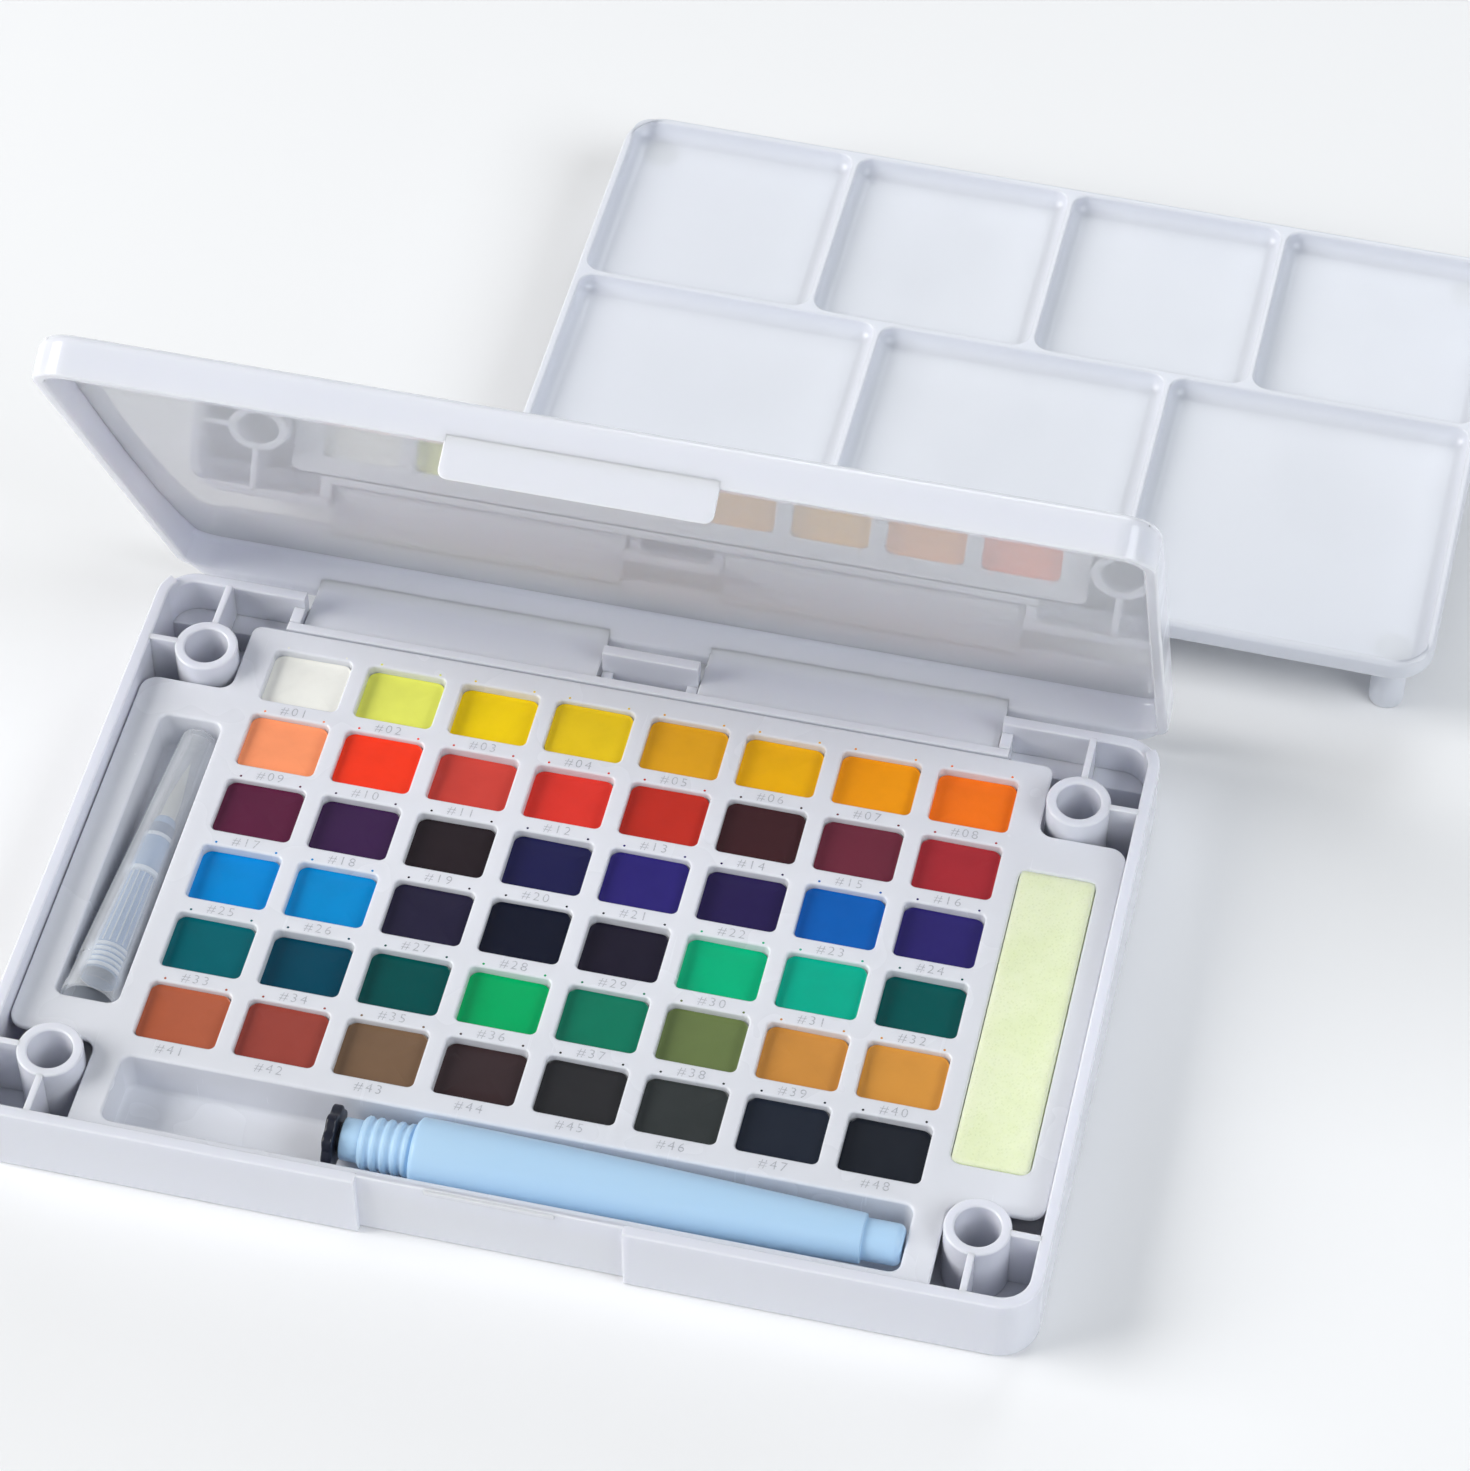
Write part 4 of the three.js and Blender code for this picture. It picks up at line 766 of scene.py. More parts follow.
def foam_material():
    """Open-cell sponge: two sizes of pore in a pale yellow-green foam, each pore's middle darkened as painted
    shade.
    """
    material, tree, shader, place = new_material("sponge_foam")
    pit, hollow = pores(tree, place, FOAM_FINE_PORES, 0.5), pores(tree, place, FOAM_WIDE_PORES, 0.35)
    open_cell = maths(tree, "MULTIPLY", pit, spread(tree, hollow, 0.0, 1.0, 0.6, 1.0))
    patches = spread(tree, noise(tree, *FOAM_MOTTLING, place), 0.35, 0.7)
    mottled = mixed(tree, patches, *(colour(*shade) for shade in FOAM_SHADES))
    # Painted shade: each pore's middle is darkened towards the pore shade colour
    shaded = mixed(tree, spread(tree, open_cell, 0.0, 1.0, 0.16, 0.0), mottled, colour(*FOAM_PAINTED_PORE_SHADE))
    tree.links.new(shaded, shader.inputs["Base Color"])
    grain = maths(tree, "MULTIPLY", noise(tree, *FOAM_GRAIN, place), 0.4)
    bumped(tree, maths(tree, "ADD", open_cell, grain), shader, *FOAM_BUMP)
    tree.links.new(spread(tree, open_cell, 0.0, 1.0, 0.98, 0.82), shader.inputs["Roughness"])
    shader.inputs["Sheen Weight"].default_value = 0.1
    glowing(shader, share=0.5, depth=0.003, radius=(1.0, 1.0, 0.7))
    return material


def clear_material(name, tint, faced, edged, rough):
    """Clear plastic: see-through where it faces the eye, denser along its edges."""
    material, tree, shader, place = new_material(name)
    flow = spread(tree, noise(tree, *CLEAR_FLOW, place), 0.35, 0.7)
    shade = mixed(tree, maths(tree, "MULTIPLY", flow, 0.35), tint, deepened(tint, CLEAR_FLOW_SHADE))
    tree.links.new(shade, shader.inputs["Base Color"])
    tree.links.new(spread(tree, flow, 0.0, 1.0, rough, rough + 0.08), shader.inputs["Roughness"])
    weight = tree.nodes.new("ShaderNodeLayerWeight")
    weight.inputs["Blend"].default_value = 0.35
    tree.links.new(spread(tree, weight.outputs["Facing"], 0.0, 1.0, faced, edged), shader.inputs["Alpha"])
    bumped(tree, noise(tree, *CLEAR_RIPPLE, place), shader, *CLEAR_BUMP)
    shader.inputs["Specular IOR Level"].default_value = 0.6
    return material


def ink_material():
    """Pale grey printing ink with a slightly uneven strike."""
    material, tree, shader, place = new_material("number_ink")
    worn = spread(tree, noise(tree, *INK_STRIKE, place), 0.35, 0.75)
    struck = mixed(tree, worn, *(colour(*shade) for shade in INK_SHADES))
    tree.links.new(struck, shader.inputs["Base Color"])
    tree.links.new(spread(tree, worn, 0.0, 1.0, 0.45, 0.6), shader.inputs["Roughness"])
    return material


MOULDING = make_moulding_group()
CAKE = make_cake_group()

# Colour and cloud colour from 0 to 255, share of clouds, roughness where glossy and where worn,
# strength of the grain; then, where light spreads inside, its share, depth in metres and radius
MOULDED = {
    "case_white": ((231, 233, 241), (226, 228, 238), 0.3, (0.16, 0.26), 0.02, 0.8, 0.0012),
    "lid_white": ((230, 232, 240), (224, 227, 236), 0.3, (0.14, 0.24), 0.01, 0.85),
    "lid_gloss": ((230, 232, 240), (224, 227, 236), 0.3, (0.008, 0.016), 0.001, 0.85),
    "tray_white": ((231, 233, 241), (225, 228, 238), 0.25, (0.24, 0.34), 0.02, 0.4),
    "palette_white": ((221, 224, 232), (216, 220, 229), 0.3, (0.3, 0.4), 0.02, 0.4),
    "plug_black": ((27, 30, 44), (38, 42, 56), 0.5, (0.35, 0.5), 0.1),
    "head_grey": ((136, 164, 198), (126, 155, 190), 0.5, (0.2, 0.32), 0.02),
    "barrel_blue": ((188, 221, 250), (180, 216, 248), 0.5, (0.34, 0.44), 0.02, 0.3, 0.001, (1.0, 1.0, 1.0)),
    # A pale colour for the head's rings and ribs, a painted highlight standing in for their glints
    "head_painted_highlight": ((226, 234, 244), (214, 224, 238), 0.5, (0.2, 0.3), 0.02, 0.4),
    "ferrule_blue": ((78, 104, 140), (68, 94, 130), 0.5, (0.2, 0.32), 0.02),
    "bristle_white": ((238, 238, 232), (214, 214, 206), 0.8, (0.35, 0.5), 0.2),
}
FINISH = {name: moulded(name, *values) for name, values in MOULDED.items()}
CAP_CLEAR = clear_material("cap_clear", colour(246, 250, 255), faced=0.2, edged=0.62, rough=0.06)
SPONGE_FOAM = foam_material()
NUMBER_INK = ink_material()


# Case

CASE_RIGHT, CASE_BACK, CASE_TOP = in_mm(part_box("base_case"))[1]
INNER_RIGHT = CASE_RIGHT - CASE_WALL
INNER_BACK = CASE_BACK - CASE_WALL
POST_X = INNER_RIGHT - POST_INSET[0]
REAR_POST_Y = INNER_BACK - POST_INSET[1]
FRONT_POST_Y = POST_INSET[2] - INNER_BACK
HINGE_HALF = BLOCK_LENGTH / 2 + LEAF_LENGTH + 2 * LEAF_GAP
LEAF_CENTRES = [HINGE_CENTRE + side * (BLOCK_LENGTH / 2 + LEAF_GAP + LEAF_LENGTH / 2) for side in (-1, 1)]
AXIS_Y, AXIS_Z = (value / MM for value in frame["joints"][0]["pos_m"][1:])


def case_stations():
    """Points and outward directions round the case, with stations where its wall steps."""
    straight = np.array([CASE_RIGHT - CASE_CORNER, CASE_BACK - CASE_CORNER])
    left, right = (TAB_CENTRE + side * (TAB_LENGTH / 2 + RECESS_GAP) for side in (-1, 1))
    front = np.array([left - WALL_STEP_RUN, left, right, right + WALL_STEP_RUN])
    edges = [HINGE_CENTRE + side * place for side in (-1, 1) for place in (BLOCK_LENGTH / 2, HINGE_HALF)]
    half_step = WALL_STEP_RUN / 2
    rear = np.sort(np.concatenate([[edge - half_step, edge + half_step] for edge in edges]))[::-1]
    quarter = np.linspace(0, math.pi / 2, CORNER_STATIONS)
    relief = math.asin(1 - REAR_RIM_DEPTH / CASE_CORNER) + np.array([-WALL_STEP_ANGLE, WALL_STEP_ANGLE])
    rear_right, rear_left = (np.sort(np.append(quarter, extra)) for extra in (relief, math.pi / 2 - relief))
    runs = [np.column_stack([front, np.full(4, -CASE_BACK), np.zeros(4), -np.ones(4)])]
    for k, (corner, sides) in enumerate([
        (quarter, (1, -1)), (rear_right, (1, 1)), (rear_left, (-1, 1)), (quarter, (-1, -1)),
    ]):
        angle = corner + (k - 1) * math.pi / 2
        out = np.column_stack([np.cos(angle), np.sin(angle)])
        runs.append(np.column_stack([sides * straight + CASE_CORNER * out, out]))
        if k == 1:
            runs.append(np.column_stack([rear, np.full(8, CASE_BACK), np.zeros(8), np.ones(8)]))
    stations = np.concatenate(runs)
    return stations[:, :2], stations[:, 2:]


def case_shell():
    """The wall's profile carried round the case, its rim and face stepped where the wall is."""
    places, out = case_stations()
    x, y = places.T
    in_recess = (np.abs(x - TAB_CENTRE) < TAB_LENGTH / 2 + RECESS_GAP + HAIR) & (y < 0)
    recess = np.where(in_recess, RECESS_DEPTH, 0.0)
    from_centre = np.abs(x - HINGE_CENTRE)
    opened = (y > INNER_BACK) & (from_centre > BLOCK_LENGTH / 2) & (from_centre < HINGE_HALF)
    rim = np.where(y > CASE_BACK - REAR_RIM_DEPTH, CASE_TOP - REAR_RIM_DROP, CASE_TOP)
    rim = np.where(opened, CASE_FLOOR, rim)
    deep = CASE_WALL + CASE_FLOOR_FILLET
    outer = rounded_path([
        (-3 * CASE_FOOT_ROUND, 0, 0), (0, 0, CASE_FOOT_ROUND),
        (0, CASE_TOP, CASE_RIM_ROUND), (-CASE_WALL / 2, CASE_TOP, 0),
    ])
    inner = rounded_path([
        (-CASE_WALL / 2, CASE_TOP, 0), (-CASE_WALL, CASE_TOP, CASE_RIM_ROUND),
        (-CASE_WALL, CASE_FLOOR, CASE_FLOOR_FILLET), (-2 * deep, CASE_FLOOR, 0),
    ])[1:]
    profile = np.concatenate([outer, inner])
    outside = np.arange(len(profile))[:, None] < len(outer)
    raised = profile[:, 1:] > CASE_TOP / 2
    squeeze = np.where(raised, 1 - 0.5 * recess / CASE_WALL, 1.0)
    offset = np.where(outside, profile[:, :1] * squeeze - recess, profile[:, :1])
    height = np.minimum(profile[:, 1:] - raised * (CASE_TOP - rim), rim)
    rings = np.concatenate([places + offset[:, :, None] * out, height[:, :, None]], -1)
    surface = Surface()
    surface.add_rings(rings, True, True)
    return surface


def post(x, y):
    """A hollow post, its bore open at the top, turned about its own axis."""
    foot, floor = CASE_FLOOR / 2, CASE_FLOOR + POST_FLOOR_RISE
    profile = rounded_path([
        (0, foot, 0), (POST_RADIUS, foot, 0), (POST_RADIUS, CASE_TOP, POST_RIM_ROUND),
        (POST_BORE_RADIUS, CASE_TOP, POST_RIM_ROUND), (POST_BORE_RADIUS, floor, POST_FLOOR_FILLET),
        (0, floor, 0),
    ])
    return turned_solid(profile[1:-1], 72).move(Matrix.Translation((x, y, 0)))


def case_pieces():
    """The shell, and the posts, ribs and hinge blocks that stand in it, each a mesh of its own."""
    make_piece("case_moulding", case_shell(), FINISH["case_white"], "case", ["base_case"])
    posts, ribs, blocks, strips = Surface(), Surface(), Surface(), Surface()
    sunk = CASE_WALL / 2
    for side in (-1, 1):
        for end, y in ((1, REAR_POST_Y), (-1, FRONT_POST_Y)):
            x = side * POST_X
            posts.join(post(x, y))
            wall_x, wall_y = side * (INNER_RIGHT + RIB_SUNK), end * (INNER_BACK + RIB_SUNK)
            near_x, near_y = x + side * (POST_RADIUS - RIB_SUNK), y + end * (POST_RADIUS - RIB_SUNK)
            half = RIB_THICKNESS / 2
            bottom, top = CASE_FLOOR / 2, CASE_TOP - FACE_STEP
            ribs.join(soft_block(*sorted((near_x, wall_x)), y - half, y + half, bottom, top))
            full_y = wall_y if end < 0 else CASE_BACK - REAR_RIM_DEPTH
            ribs.join(soft_block(x - half, x + half, *sorted((near_y, full_y)), bottom, top))
            if end > 0:
                half -= SIDE_STEP
                low = full_y - REAR_RIM_LAP
                strips.join(soft_block(x - half, x + half, low, wall_y, bottom, top - REAR_RIM_DROP))
    rear = INNER_BACK + sunk
    front = AXIS_Y - LEAF_BARREL_RADIUS
    strip_back = front + STRIP_WIDTH
    for side in (-1, 1):
        face = HINGE_CENTRE + side * HINGE_HALF
        block = HINGE_CENTRE + side * BLOCK_LENGTH / 2
        cheek = sorted((face, face + side * (CHEEK_THICKNESS - SIDE_STEP)))
        blocks.join(soft_block(*cheek, AXIS_Y - CHEEK_REACH, rear, BLOCK_FOOT, CHEEK_TOP - FACE_STEP))
        cheek = sorted((block - side * SIDE_STEP, block - side * CHEEK_THICKNESS))
        blocks.join(soft_block(*cheek, front + SIDE_STEP, rear, BLOCK_FOOT, CHEEK_LOW_TOP))
        ledge = sorted((face + side * CHEEK_THICKNESS / 2, side * (INNER_RIGHT + sunk)))
        strips.join(soft_block(*ledge, INNER_BACK - LEDGE_DEPTH, rear, BLOCK_FOOT, LEDGE_HEIGHT))
    middle = BLOCK_LENGTH / 2
    blocks.join(soft_block(
        HINGE_CENTRE - middle, HINGE_CENTRE + middle, front + FACE_STEP, strip_back - FACE_STEP,
        BLOCK_FOOT, CHEEK_TOP - FACE_STEP,
    ))
    reach = HINGE_HALF + CHEEK_THICKNESS
    strips.join(soft_block(
        HINGE_CENTRE - reach, HINGE_CENTRE + reach, front, strip_back,
        CHEEK_TOP - STRIP_THICKNESS, CHEEK_TOP,
    ))
    bead_face = RECESS_DEPTH - CASE_BACK
    bead_middle = CASE_TOP - BEAD_FROM_RIM
    blocks.join(soft_block(
        TAB_CENTRE - BEAD_LENGTH / 2, TAB_CENTRE + BEAD_LENGTH / 2,
        bead_face - BEAD_PROUD, bead_face + BEAD_SUNK,
        bead_middle - BEAD_HEIGHT / 2, bead_middle + BEAD_HEIGHT / 2, BEAD_ROUND,
    ))
    for name, surface in (
        ("case_posts", posts), ("case_ribs", ribs), ("case_blocks", blocks), ("case_strips", strips),
    ):
        make_piece(name, surface, FINISH["case_white"], "case", [])


# Lid

LID_RIM = CASE_TOP + LID_GAP
LID_CEILING = LID_RIM + LID_DEPTH
LID_TOP = LID_CEILING + LID_PLATE
LID_CLOSED_TURN = math.radians(-frame["joints"][0]["range_deg"][0])


def lid_shell():
    """One profile carried round the lid, from the middle of its ceiling to the middle of its top.

    The rear wall's rim slants down outwards by LID_REAR_DROP to fill the step in the case's rear
    rim.
    """
    inner = rounded_path([
        (-3 * LID_TOP_ROUND, LID_CEILING, 0), (-LID_WALL, LID_CEILING, LID_CEILING_ROUND),
        (-LID_WALL, LID_RIM, LID_RIM_ROUND), (0, LID_RIM, LID_RIM_ROUND), (0, LID_TOP, LID_TOP_ROUND),
        (-3 * LID_TOP_ROUND, LID_TOP, 0),
    ], 6)
    right = CASE_RIGHT - LID_SIDE_INSET
    surface = Surface()
    shape = Oblong(-right, right, -CASE_BACK, CASE_BACK, CASE_CORNER, 10)
    rings = shape.rings(inner)
    across = np.clip((rings[..., 1] - (CASE_BACK - LID_WALL)) / LID_WALL, 0, 1)
    rings[..., 2] -= LID_REAR_DROP * across * (rings[..., 2] < LID_RIM + 2 * LID_RIM_ROUND)
    surface.add_rings(rings, True, True)
    return surface


def lid_ceiling():
    """The glossy ceiling, which bows into the lid by LID_BOW * (1 - (y / half width) ** 2)."""
    half = CASE_BACK - LID_WALL
    y = np.linspace(-half, half, 49)
    low = LID_CEILING - HAIR - LID_BOW * (1 - (y / half) ** 2)
    back = LID_CEILING + LID_CEILING_SUNK
    outline = np.concatenate([np.column_stack([y, low]), [[half, back], [-half, back]]])
    reach = CASE_RIGHT - LID_SIDE_INSET - LID_WALL
    return along_x(outline, -reach, reach, FACE_STEP)


def hinge_leaf(centre, right_trim):
    """A leaf that hangs from the rear wall and ends in a round barrel on the hinge axis.

    Its face leaves the barrel on the tangent that runs to the rim's inner corner, which lies at
    the arm's angle plus acos(radius / arm), and blends into the wall.
    """
    rim = (CASE_BACK - LID_WALL, LID_RIM)
    arm = (rim[0] - AXIS_Y, rim[1] - AXIS_Z)
    sweep = 2 * math.pi - math.atan2(arm[1], arm[0]) - math.acos(LEAF_BARREL_RADIUS / math.hypot(*arm))
    angle = -np.linspace(0, sweep, 33)
    circle = LEAF_BARREL_RADIUS * np.column_stack([np.cos(angle), np.sin(angle)])
    barrel = circle + np.array([AXIS_Y, AXIS_Z])
    top, back = LID_RIM + LID_WALL, CASE_BACK - LEAF_SKIN
    blend = rounded_path([(*barrel[-1], 0), (*rim, LEAF_BLEND), (rim[0], LID_CEILING, 0)], 12)[1:-1]
    outline = np.vstack([[back, top], [back, LID_RIM], barrel, blend, [rim[0] + LEAF_SUNK, top]])[::-1]
    surface = along_x(outline, centre - LEAF_LENGTH / 2, centre + LEAF_LENGTH / 2 - right_trim)
    reach = LEAF_LENGTH / 2 + PIN_REACH
    profile = rounded_path([
        (0, -reach, 0), (PIN_RADIUS, -reach, PIN_ROUND), (PIN_RADIUS, reach, PIN_ROUND), (0, reach, 0),
    ], 3)
    place = Matrix.Translation((centre, AXIS_Y, AXIS_Z)) @ Matrix.Rotation(math.pi / 2, 4, "Y")
    return surface.join(turned_solid(profile[1:-1], 24).move(place))


def front_tab():
    """The thin tab below the lid's front edge, whose face runs on flush with the lid's wall.

    It is a round-cornered plate turned upright, its points kept at or below a height above the
    rim's round edge, so its flat top edge lies on the wall.
    """
    surface = Surface()
    top = LID_RIM + 3 * LID_RIM_ROUND
    shape = Oblong(TAB_CENTRE - TAB_LENGTH / 2, TAB_CENTRE + TAB_LENGTH / 2,
                   LID_RIM - TAB_DROP, top + 2 * TAB_CORNER, TAB_CORNER, 6)
    back, front = CASE_BACK - TAB_THICKNESS, CASE_BACK + FACE_STEP
    profile = rounded_path([
        (-2, back, 0), (0, back, TAB_BACK_ROUND), (0, front, TAB_FACE_ROUND), (-2, front, 0),
    ], 3)
    rings = shape.rings(profile)
    rings[..., 1] = np.minimum(rings[..., 1], top)
    surface.add_rings(rings, True, True)
    return surface.move(Matrix.Rotation(math.pi / 2, 4, "X"))


def lid_pieces():
    """The lid's shell, ceiling, hinge leaves and front tab, drawn closed and turned open."""
    leaves = Surface()
    for centre, trim in zip(LEAF_CENTRES, (LEAF_TRIM, 0.0)):
        leaves.join(hinge_leaf(centre, trim))
    axis = Vector((0, AXIS_Y, AXIS_Z))
    turn = Matrix.Rotation(-LID_CLOSED_TURN, 4, "X")
    opened = Matrix.Translation(axis) @ turn @ Matrix.Translation(-axis)
    for name, surface, finish, nodes in (
        ("lid_moulding", lid_shell(), "lid_white", ["lid"]),
        ("lid_ceiling", lid_ceiling(), "lid_gloss", []),
        ("lid_leaves", leaves, "lid_white", []),
        ("lid_tab", front_tab(), "case_white", []),
    ):
        make_piece(name, surface.move(opened), FINISH[finish], "lid", nodes)


# Pan tray

tray_low, tray_high = in_mm(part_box("pan_tray"))
TRAY_TOP = tray_high[2]
PAINTS = sorted(name for name in frame["nodes"] if name.startswith("paint_"))


def paint_middle(name):
    """The middle of a paint's box, seen from above."""
    low, high = in_mm(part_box(name))
    return (low + high)[:2] / 2


def tray_outline():
    """The plate's outline: a rectangle with a cut corner round each post, its corners round."""
    cut_x = POST_X - POST_RADIUS - TRAY_POST_GAP
    rear, front = REAR_POST_Y - POST_RADIUS - TRAY_POST_GAP, FRONT_POST_Y + POST_RADIUS + TRAY_POST_GAP
    right, low, high = tray_high[0], tray_low[1], tray_high[1]
    fillet, side, end = TRAY_INNER_FILLET, TRAY_SIDE_CORNER, TRAY_END_CORNER
    return rounded_path([
        (-cut_x, low, end), (cut_x, low, end), (cut_x, front, fillet), (right, front, side),
        (right, rear, side), (cut_x, rear, fillet), (cut_x, high, end), (-cut_x, high, end),
        (-cut_x, rear, fillet), (-right, rear, side), (-right, front, side), (-cut_x, front, fillet),
    ], 8, closed=True)


def tray_hollows():
    """Each hollow of the tray as (shape, floor height, lip radius, wall thickness)."""
    half = np.array([WELL_LENGTH, WELL_WIDTH]) / 2
    hollows = []
    for name in PAINTS:
        (left, front), (right, back) = paint_middle(name) - half, paint_middle(name) + half
        hollows.append((Oblong(left, right, front, back, WELL_CORNER), WELL_FLOOR, WELL_LIP, CUP_WALL))
    for sides, floor in (
        (CAP_SLOT, SLOT_FLOOR), (BARREL_SLOT, SLOT_FLOOR), (SPONGE_RECESS, SPONGE_RECESS_FLOOR),
    ):
        hollows.append((Oblong(*sides, SLOT_CORNER, 8), floor, SLOT_LIP, SLOT_WALL))
    return hollows


def tray_piece():
    """A flat plate filled between lips, with each hollow's profile carried round its shape."""
    surface = Surface()
    outline = tray_outline()
    out = outward_of(outline)
    underside = TRAY_TOP - TRAY_PLATE
    edge = rounded_path([
        (-2 * TRAY_UNDER_ROUND, underside, 0), (0, underside, TRAY_UNDER_ROUND),
        (0, TRAY_TOP, TRAY_EDGE_ROUND), (-2 * TRAY_EDGE_ROUND, TRAY_TOP, 0),
    ])
    rings = np.stack([np.column_stack([outline + out * o, np.full(len(outline), z)]) for o, z in edge])
    surface.add_rings(rings)
    upper, lower = [rings[-1][:, :2]], [rings[0][:, :2]]
    for shape, floor, lip, wall in tray_hollows():
        inside = rounded_path([
            (1.5 * lip, TRAY_TOP, 0), (0, TRAY_TOP, lip),
            (-WELL_DRAFT, floor, WELL_FLOOR_FILLET), (-2.5, floor, 0),
        ], 6)
        foot = floor - wall
        below = rounded_path([(wall, underside, 0), (wall, foot, CUP_ROUND), (-2, foot, 0)], 3)
        surface.add_rings(shape.rings(inside), closed_end=True)
        surface.add_rings(shape.rings(below), closed_end=True, flip=True)
        upper.append(shape.ring(1.5 * lip))
        lower.append(shape.ring(wall))
    surface.add_fill(upper, TRAY_TOP)
    surface.add_fill(lower, underside, down=True)
    make_piece(
        "pan_tray_moulding", surface, FINISH["tray_white"], "case", ["pan_tray"],
    )


def number_piece():
    """A printed number in front of each well, #01 to #48, in one flat mesh just above the tray."""
    surface = Surface()
    for k, name in enumerate(PAINTS):
        curve = bpy.data.curves.new("number", "FONT")
        curve.body = f"#{k + 1:02d}"
        curve.size = NUMBER_HEIGHT / NUMBER_CAPITAL_SHARE * MM
        curve.space_character = NUMBER_SPACING
        curve.offset = -NUMBER_THINNING * MM
        curve.align_x = "CENTER"
        curve.align_y = "CENTER"
        curve.resolution_u = 3
        text = bpy.data.objects.new("number", curve)
        bpy.context.scene.collection.objects.link(text)
        bpy.context.view_layer.update()
        flat = bpy.data.meshes.new_from_object(text.evaluated_get(bpy.context.evaluated_depsgraph_get()))
        figure = Surface()
        figure.points = [np.array([vertex.co[:] for vertex in flat.vertices]) / MM]
        figure.faces = [list(polygon.vertices) for polygon in flat.polygons]
        figure.count = len(flat.vertices)
        figure.points[0][:, :2] += paint_middle(name) - np.array([0, WELL_WIDTH / 2 + NUMBER_FROM_WELL])
        figure.points[0][:, 2] = TRAY_TOP + INK_HEIGHT
        surface.join(figure)
        bpy.data.objects.remove(text)
        bpy.data.curves.remove(curve)
        bpy.data.meshes.remove(flat)
    make_piece("pan_numbers", surface, NUMBER_INK, "case", [], weighted=False)


# Paints

# Display colours from 0 to 255 of the paints whose cake is deeper or clearer than their slot's colour
CAKE_TINTS = {
    2: (232, 236, 104), 11: (206, 70, 60), 12: (222, 56, 46), 14: (64, 34, 38), 15: (110, 44, 60),
    16: (170, 46, 54), 17: (92, 34, 62), 18: (60, 34, 74), 21: (46, 38, 114), 22: (40, 30, 78),
    23: (10, 94, 180), 24: (46, 38, 108), 25: (0, 136, 212), 26: (0, 138, 206), 27: (38, 34, 58),
    28: (18, 22, 40), 30: (0, 178, 124), 31: (0, 172, 142), 32: (0, 84, 82), 33: (0, 98, 108),
    34: (0, 68, 90), 35: (0, 78, 76), 36: (0, 170, 98), 37: (16, 120, 92), 38: (106, 122, 74),
    39: (206, 142, 66), 40: (216, 150, 66), 41: (180, 96, 68), 42: (156, 70, 60), 43: (122, 96, 74),
    44: (60, 46, 48), 45: (46, 46, 48), 46: (54, 58, 58), 47: (34, 40, 52), 48: (32, 36, 44),
}
COLOUR_OF = {material["slot"]: material["base_color"] for material in frame["record"]["materials"]}


def spot(x, y):
    """A tiny flat dome of printed colour on the tray: rings of radius r cos a, height h sin a."""
    angle = np.linspace(0, math.pi / 2, 4)[:-1]
    profile = np.column_stack([SPOT_RADIUS * np.cos(angle), TRAY_TOP + SPOT_HEIGHT * np.sin(angle)])
    return turned_solid(profile, 14).move(Matrix.Translation((x, y, 0)))


def paint_piece(name, number):
    """A poured cake: round-cornered rings up the well's wall, over a thin brim, to a low dome.

    The brim clings to the wall as CAKE_BRIM * exp(-inset / CAKE_BRIM_REACH), and the dome rises as
    one less the square of what is left of the way in. The level, the phases of three sine waves
    that tilt and ripple the top, and the sink at its right end, as the square of the way past
    CAKE_SINK_FROM of the half length, follow the paint's number.
    """
    x, y = paint_middle(name)
    half_x, half_y = WELL_LENGTH / 2 - CAKE_GAP, WELL_WIDTH / 2 - CAKE_GAP
    shape = Oblong(x - half_x, x + half_x, y - half_y, y + half_y, CAKE_CORNER, 8)
    bottom, top = in_mm(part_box(name))[:, 2]
    chance = np.random.default_rng(number)
    top += chance.uniform(*CAKE_LEVELS)
    brim = np.linspace(0, 1, 9) ** CAKE_BRIM_CROWDING * CAKE_BRIM_WIDTH
    inset = np.concatenate([brim, np.linspace(CAKE_BRIM_WIDTH + CAKE_TOP_START, half_y * CAKE_TOP_END, 12)])
    dome = 1 - (1 - np.clip(inset / half_y, 0, 1)) ** 2
    height = top + CAKE_BRIM * np.exp(-inset / CAKE_BRIM_REACH) + CAKE_DOME * (dome - 1)
    side = [(-2, bottom), (-CAKE_FOOT, bottom), (0, bottom + CAKE_FOOT), (0, height[0] - CAKE_BRIM_DROP)]
    rings = shape.rings(np.concatenate([side, np.column_stack([-inset, height])]))
    phase = chance.uniform(0, 2 * math.pi, 4)
    along, across = (rings[..., 0] - x) / half_x, (rings[..., 1] - y) / half_y
    wave = sum(
        size * np.sin(turns_along * along + turns_across * across + first)
        for (size, turns_along, turns_across), first in zip(CAKE_WAVES, phase)
    )
    past = np.clip((along - CAKE_SINK_FROM) / (1 - CAKE_SINK_FROM), 0, 1)
    wave -= chance.uniform(*CAKE_SINK) * past ** 2
    rings[..., 2] += wave * np.clip((rings[..., 2] - bottom) / (top - bottom), 0, 1) ** 4
    surface = Surface()
    surface.add_rings(rings, True, True)
    for shift_x, shift_y in SPOT_PLACES:
        surface.join(spot(x + shift_x, y + shift_y))
    tint = CAKE_TINTS.get(number, tuple(255 * channel for channel in COLOUR_OF[name][:3]))
    material = cake_material(name, colour(*tint))
    make_piece(name + "_cake", surface, material, "case", [name])


# Palette

palette_low, palette_high = in_mm(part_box("palette"))


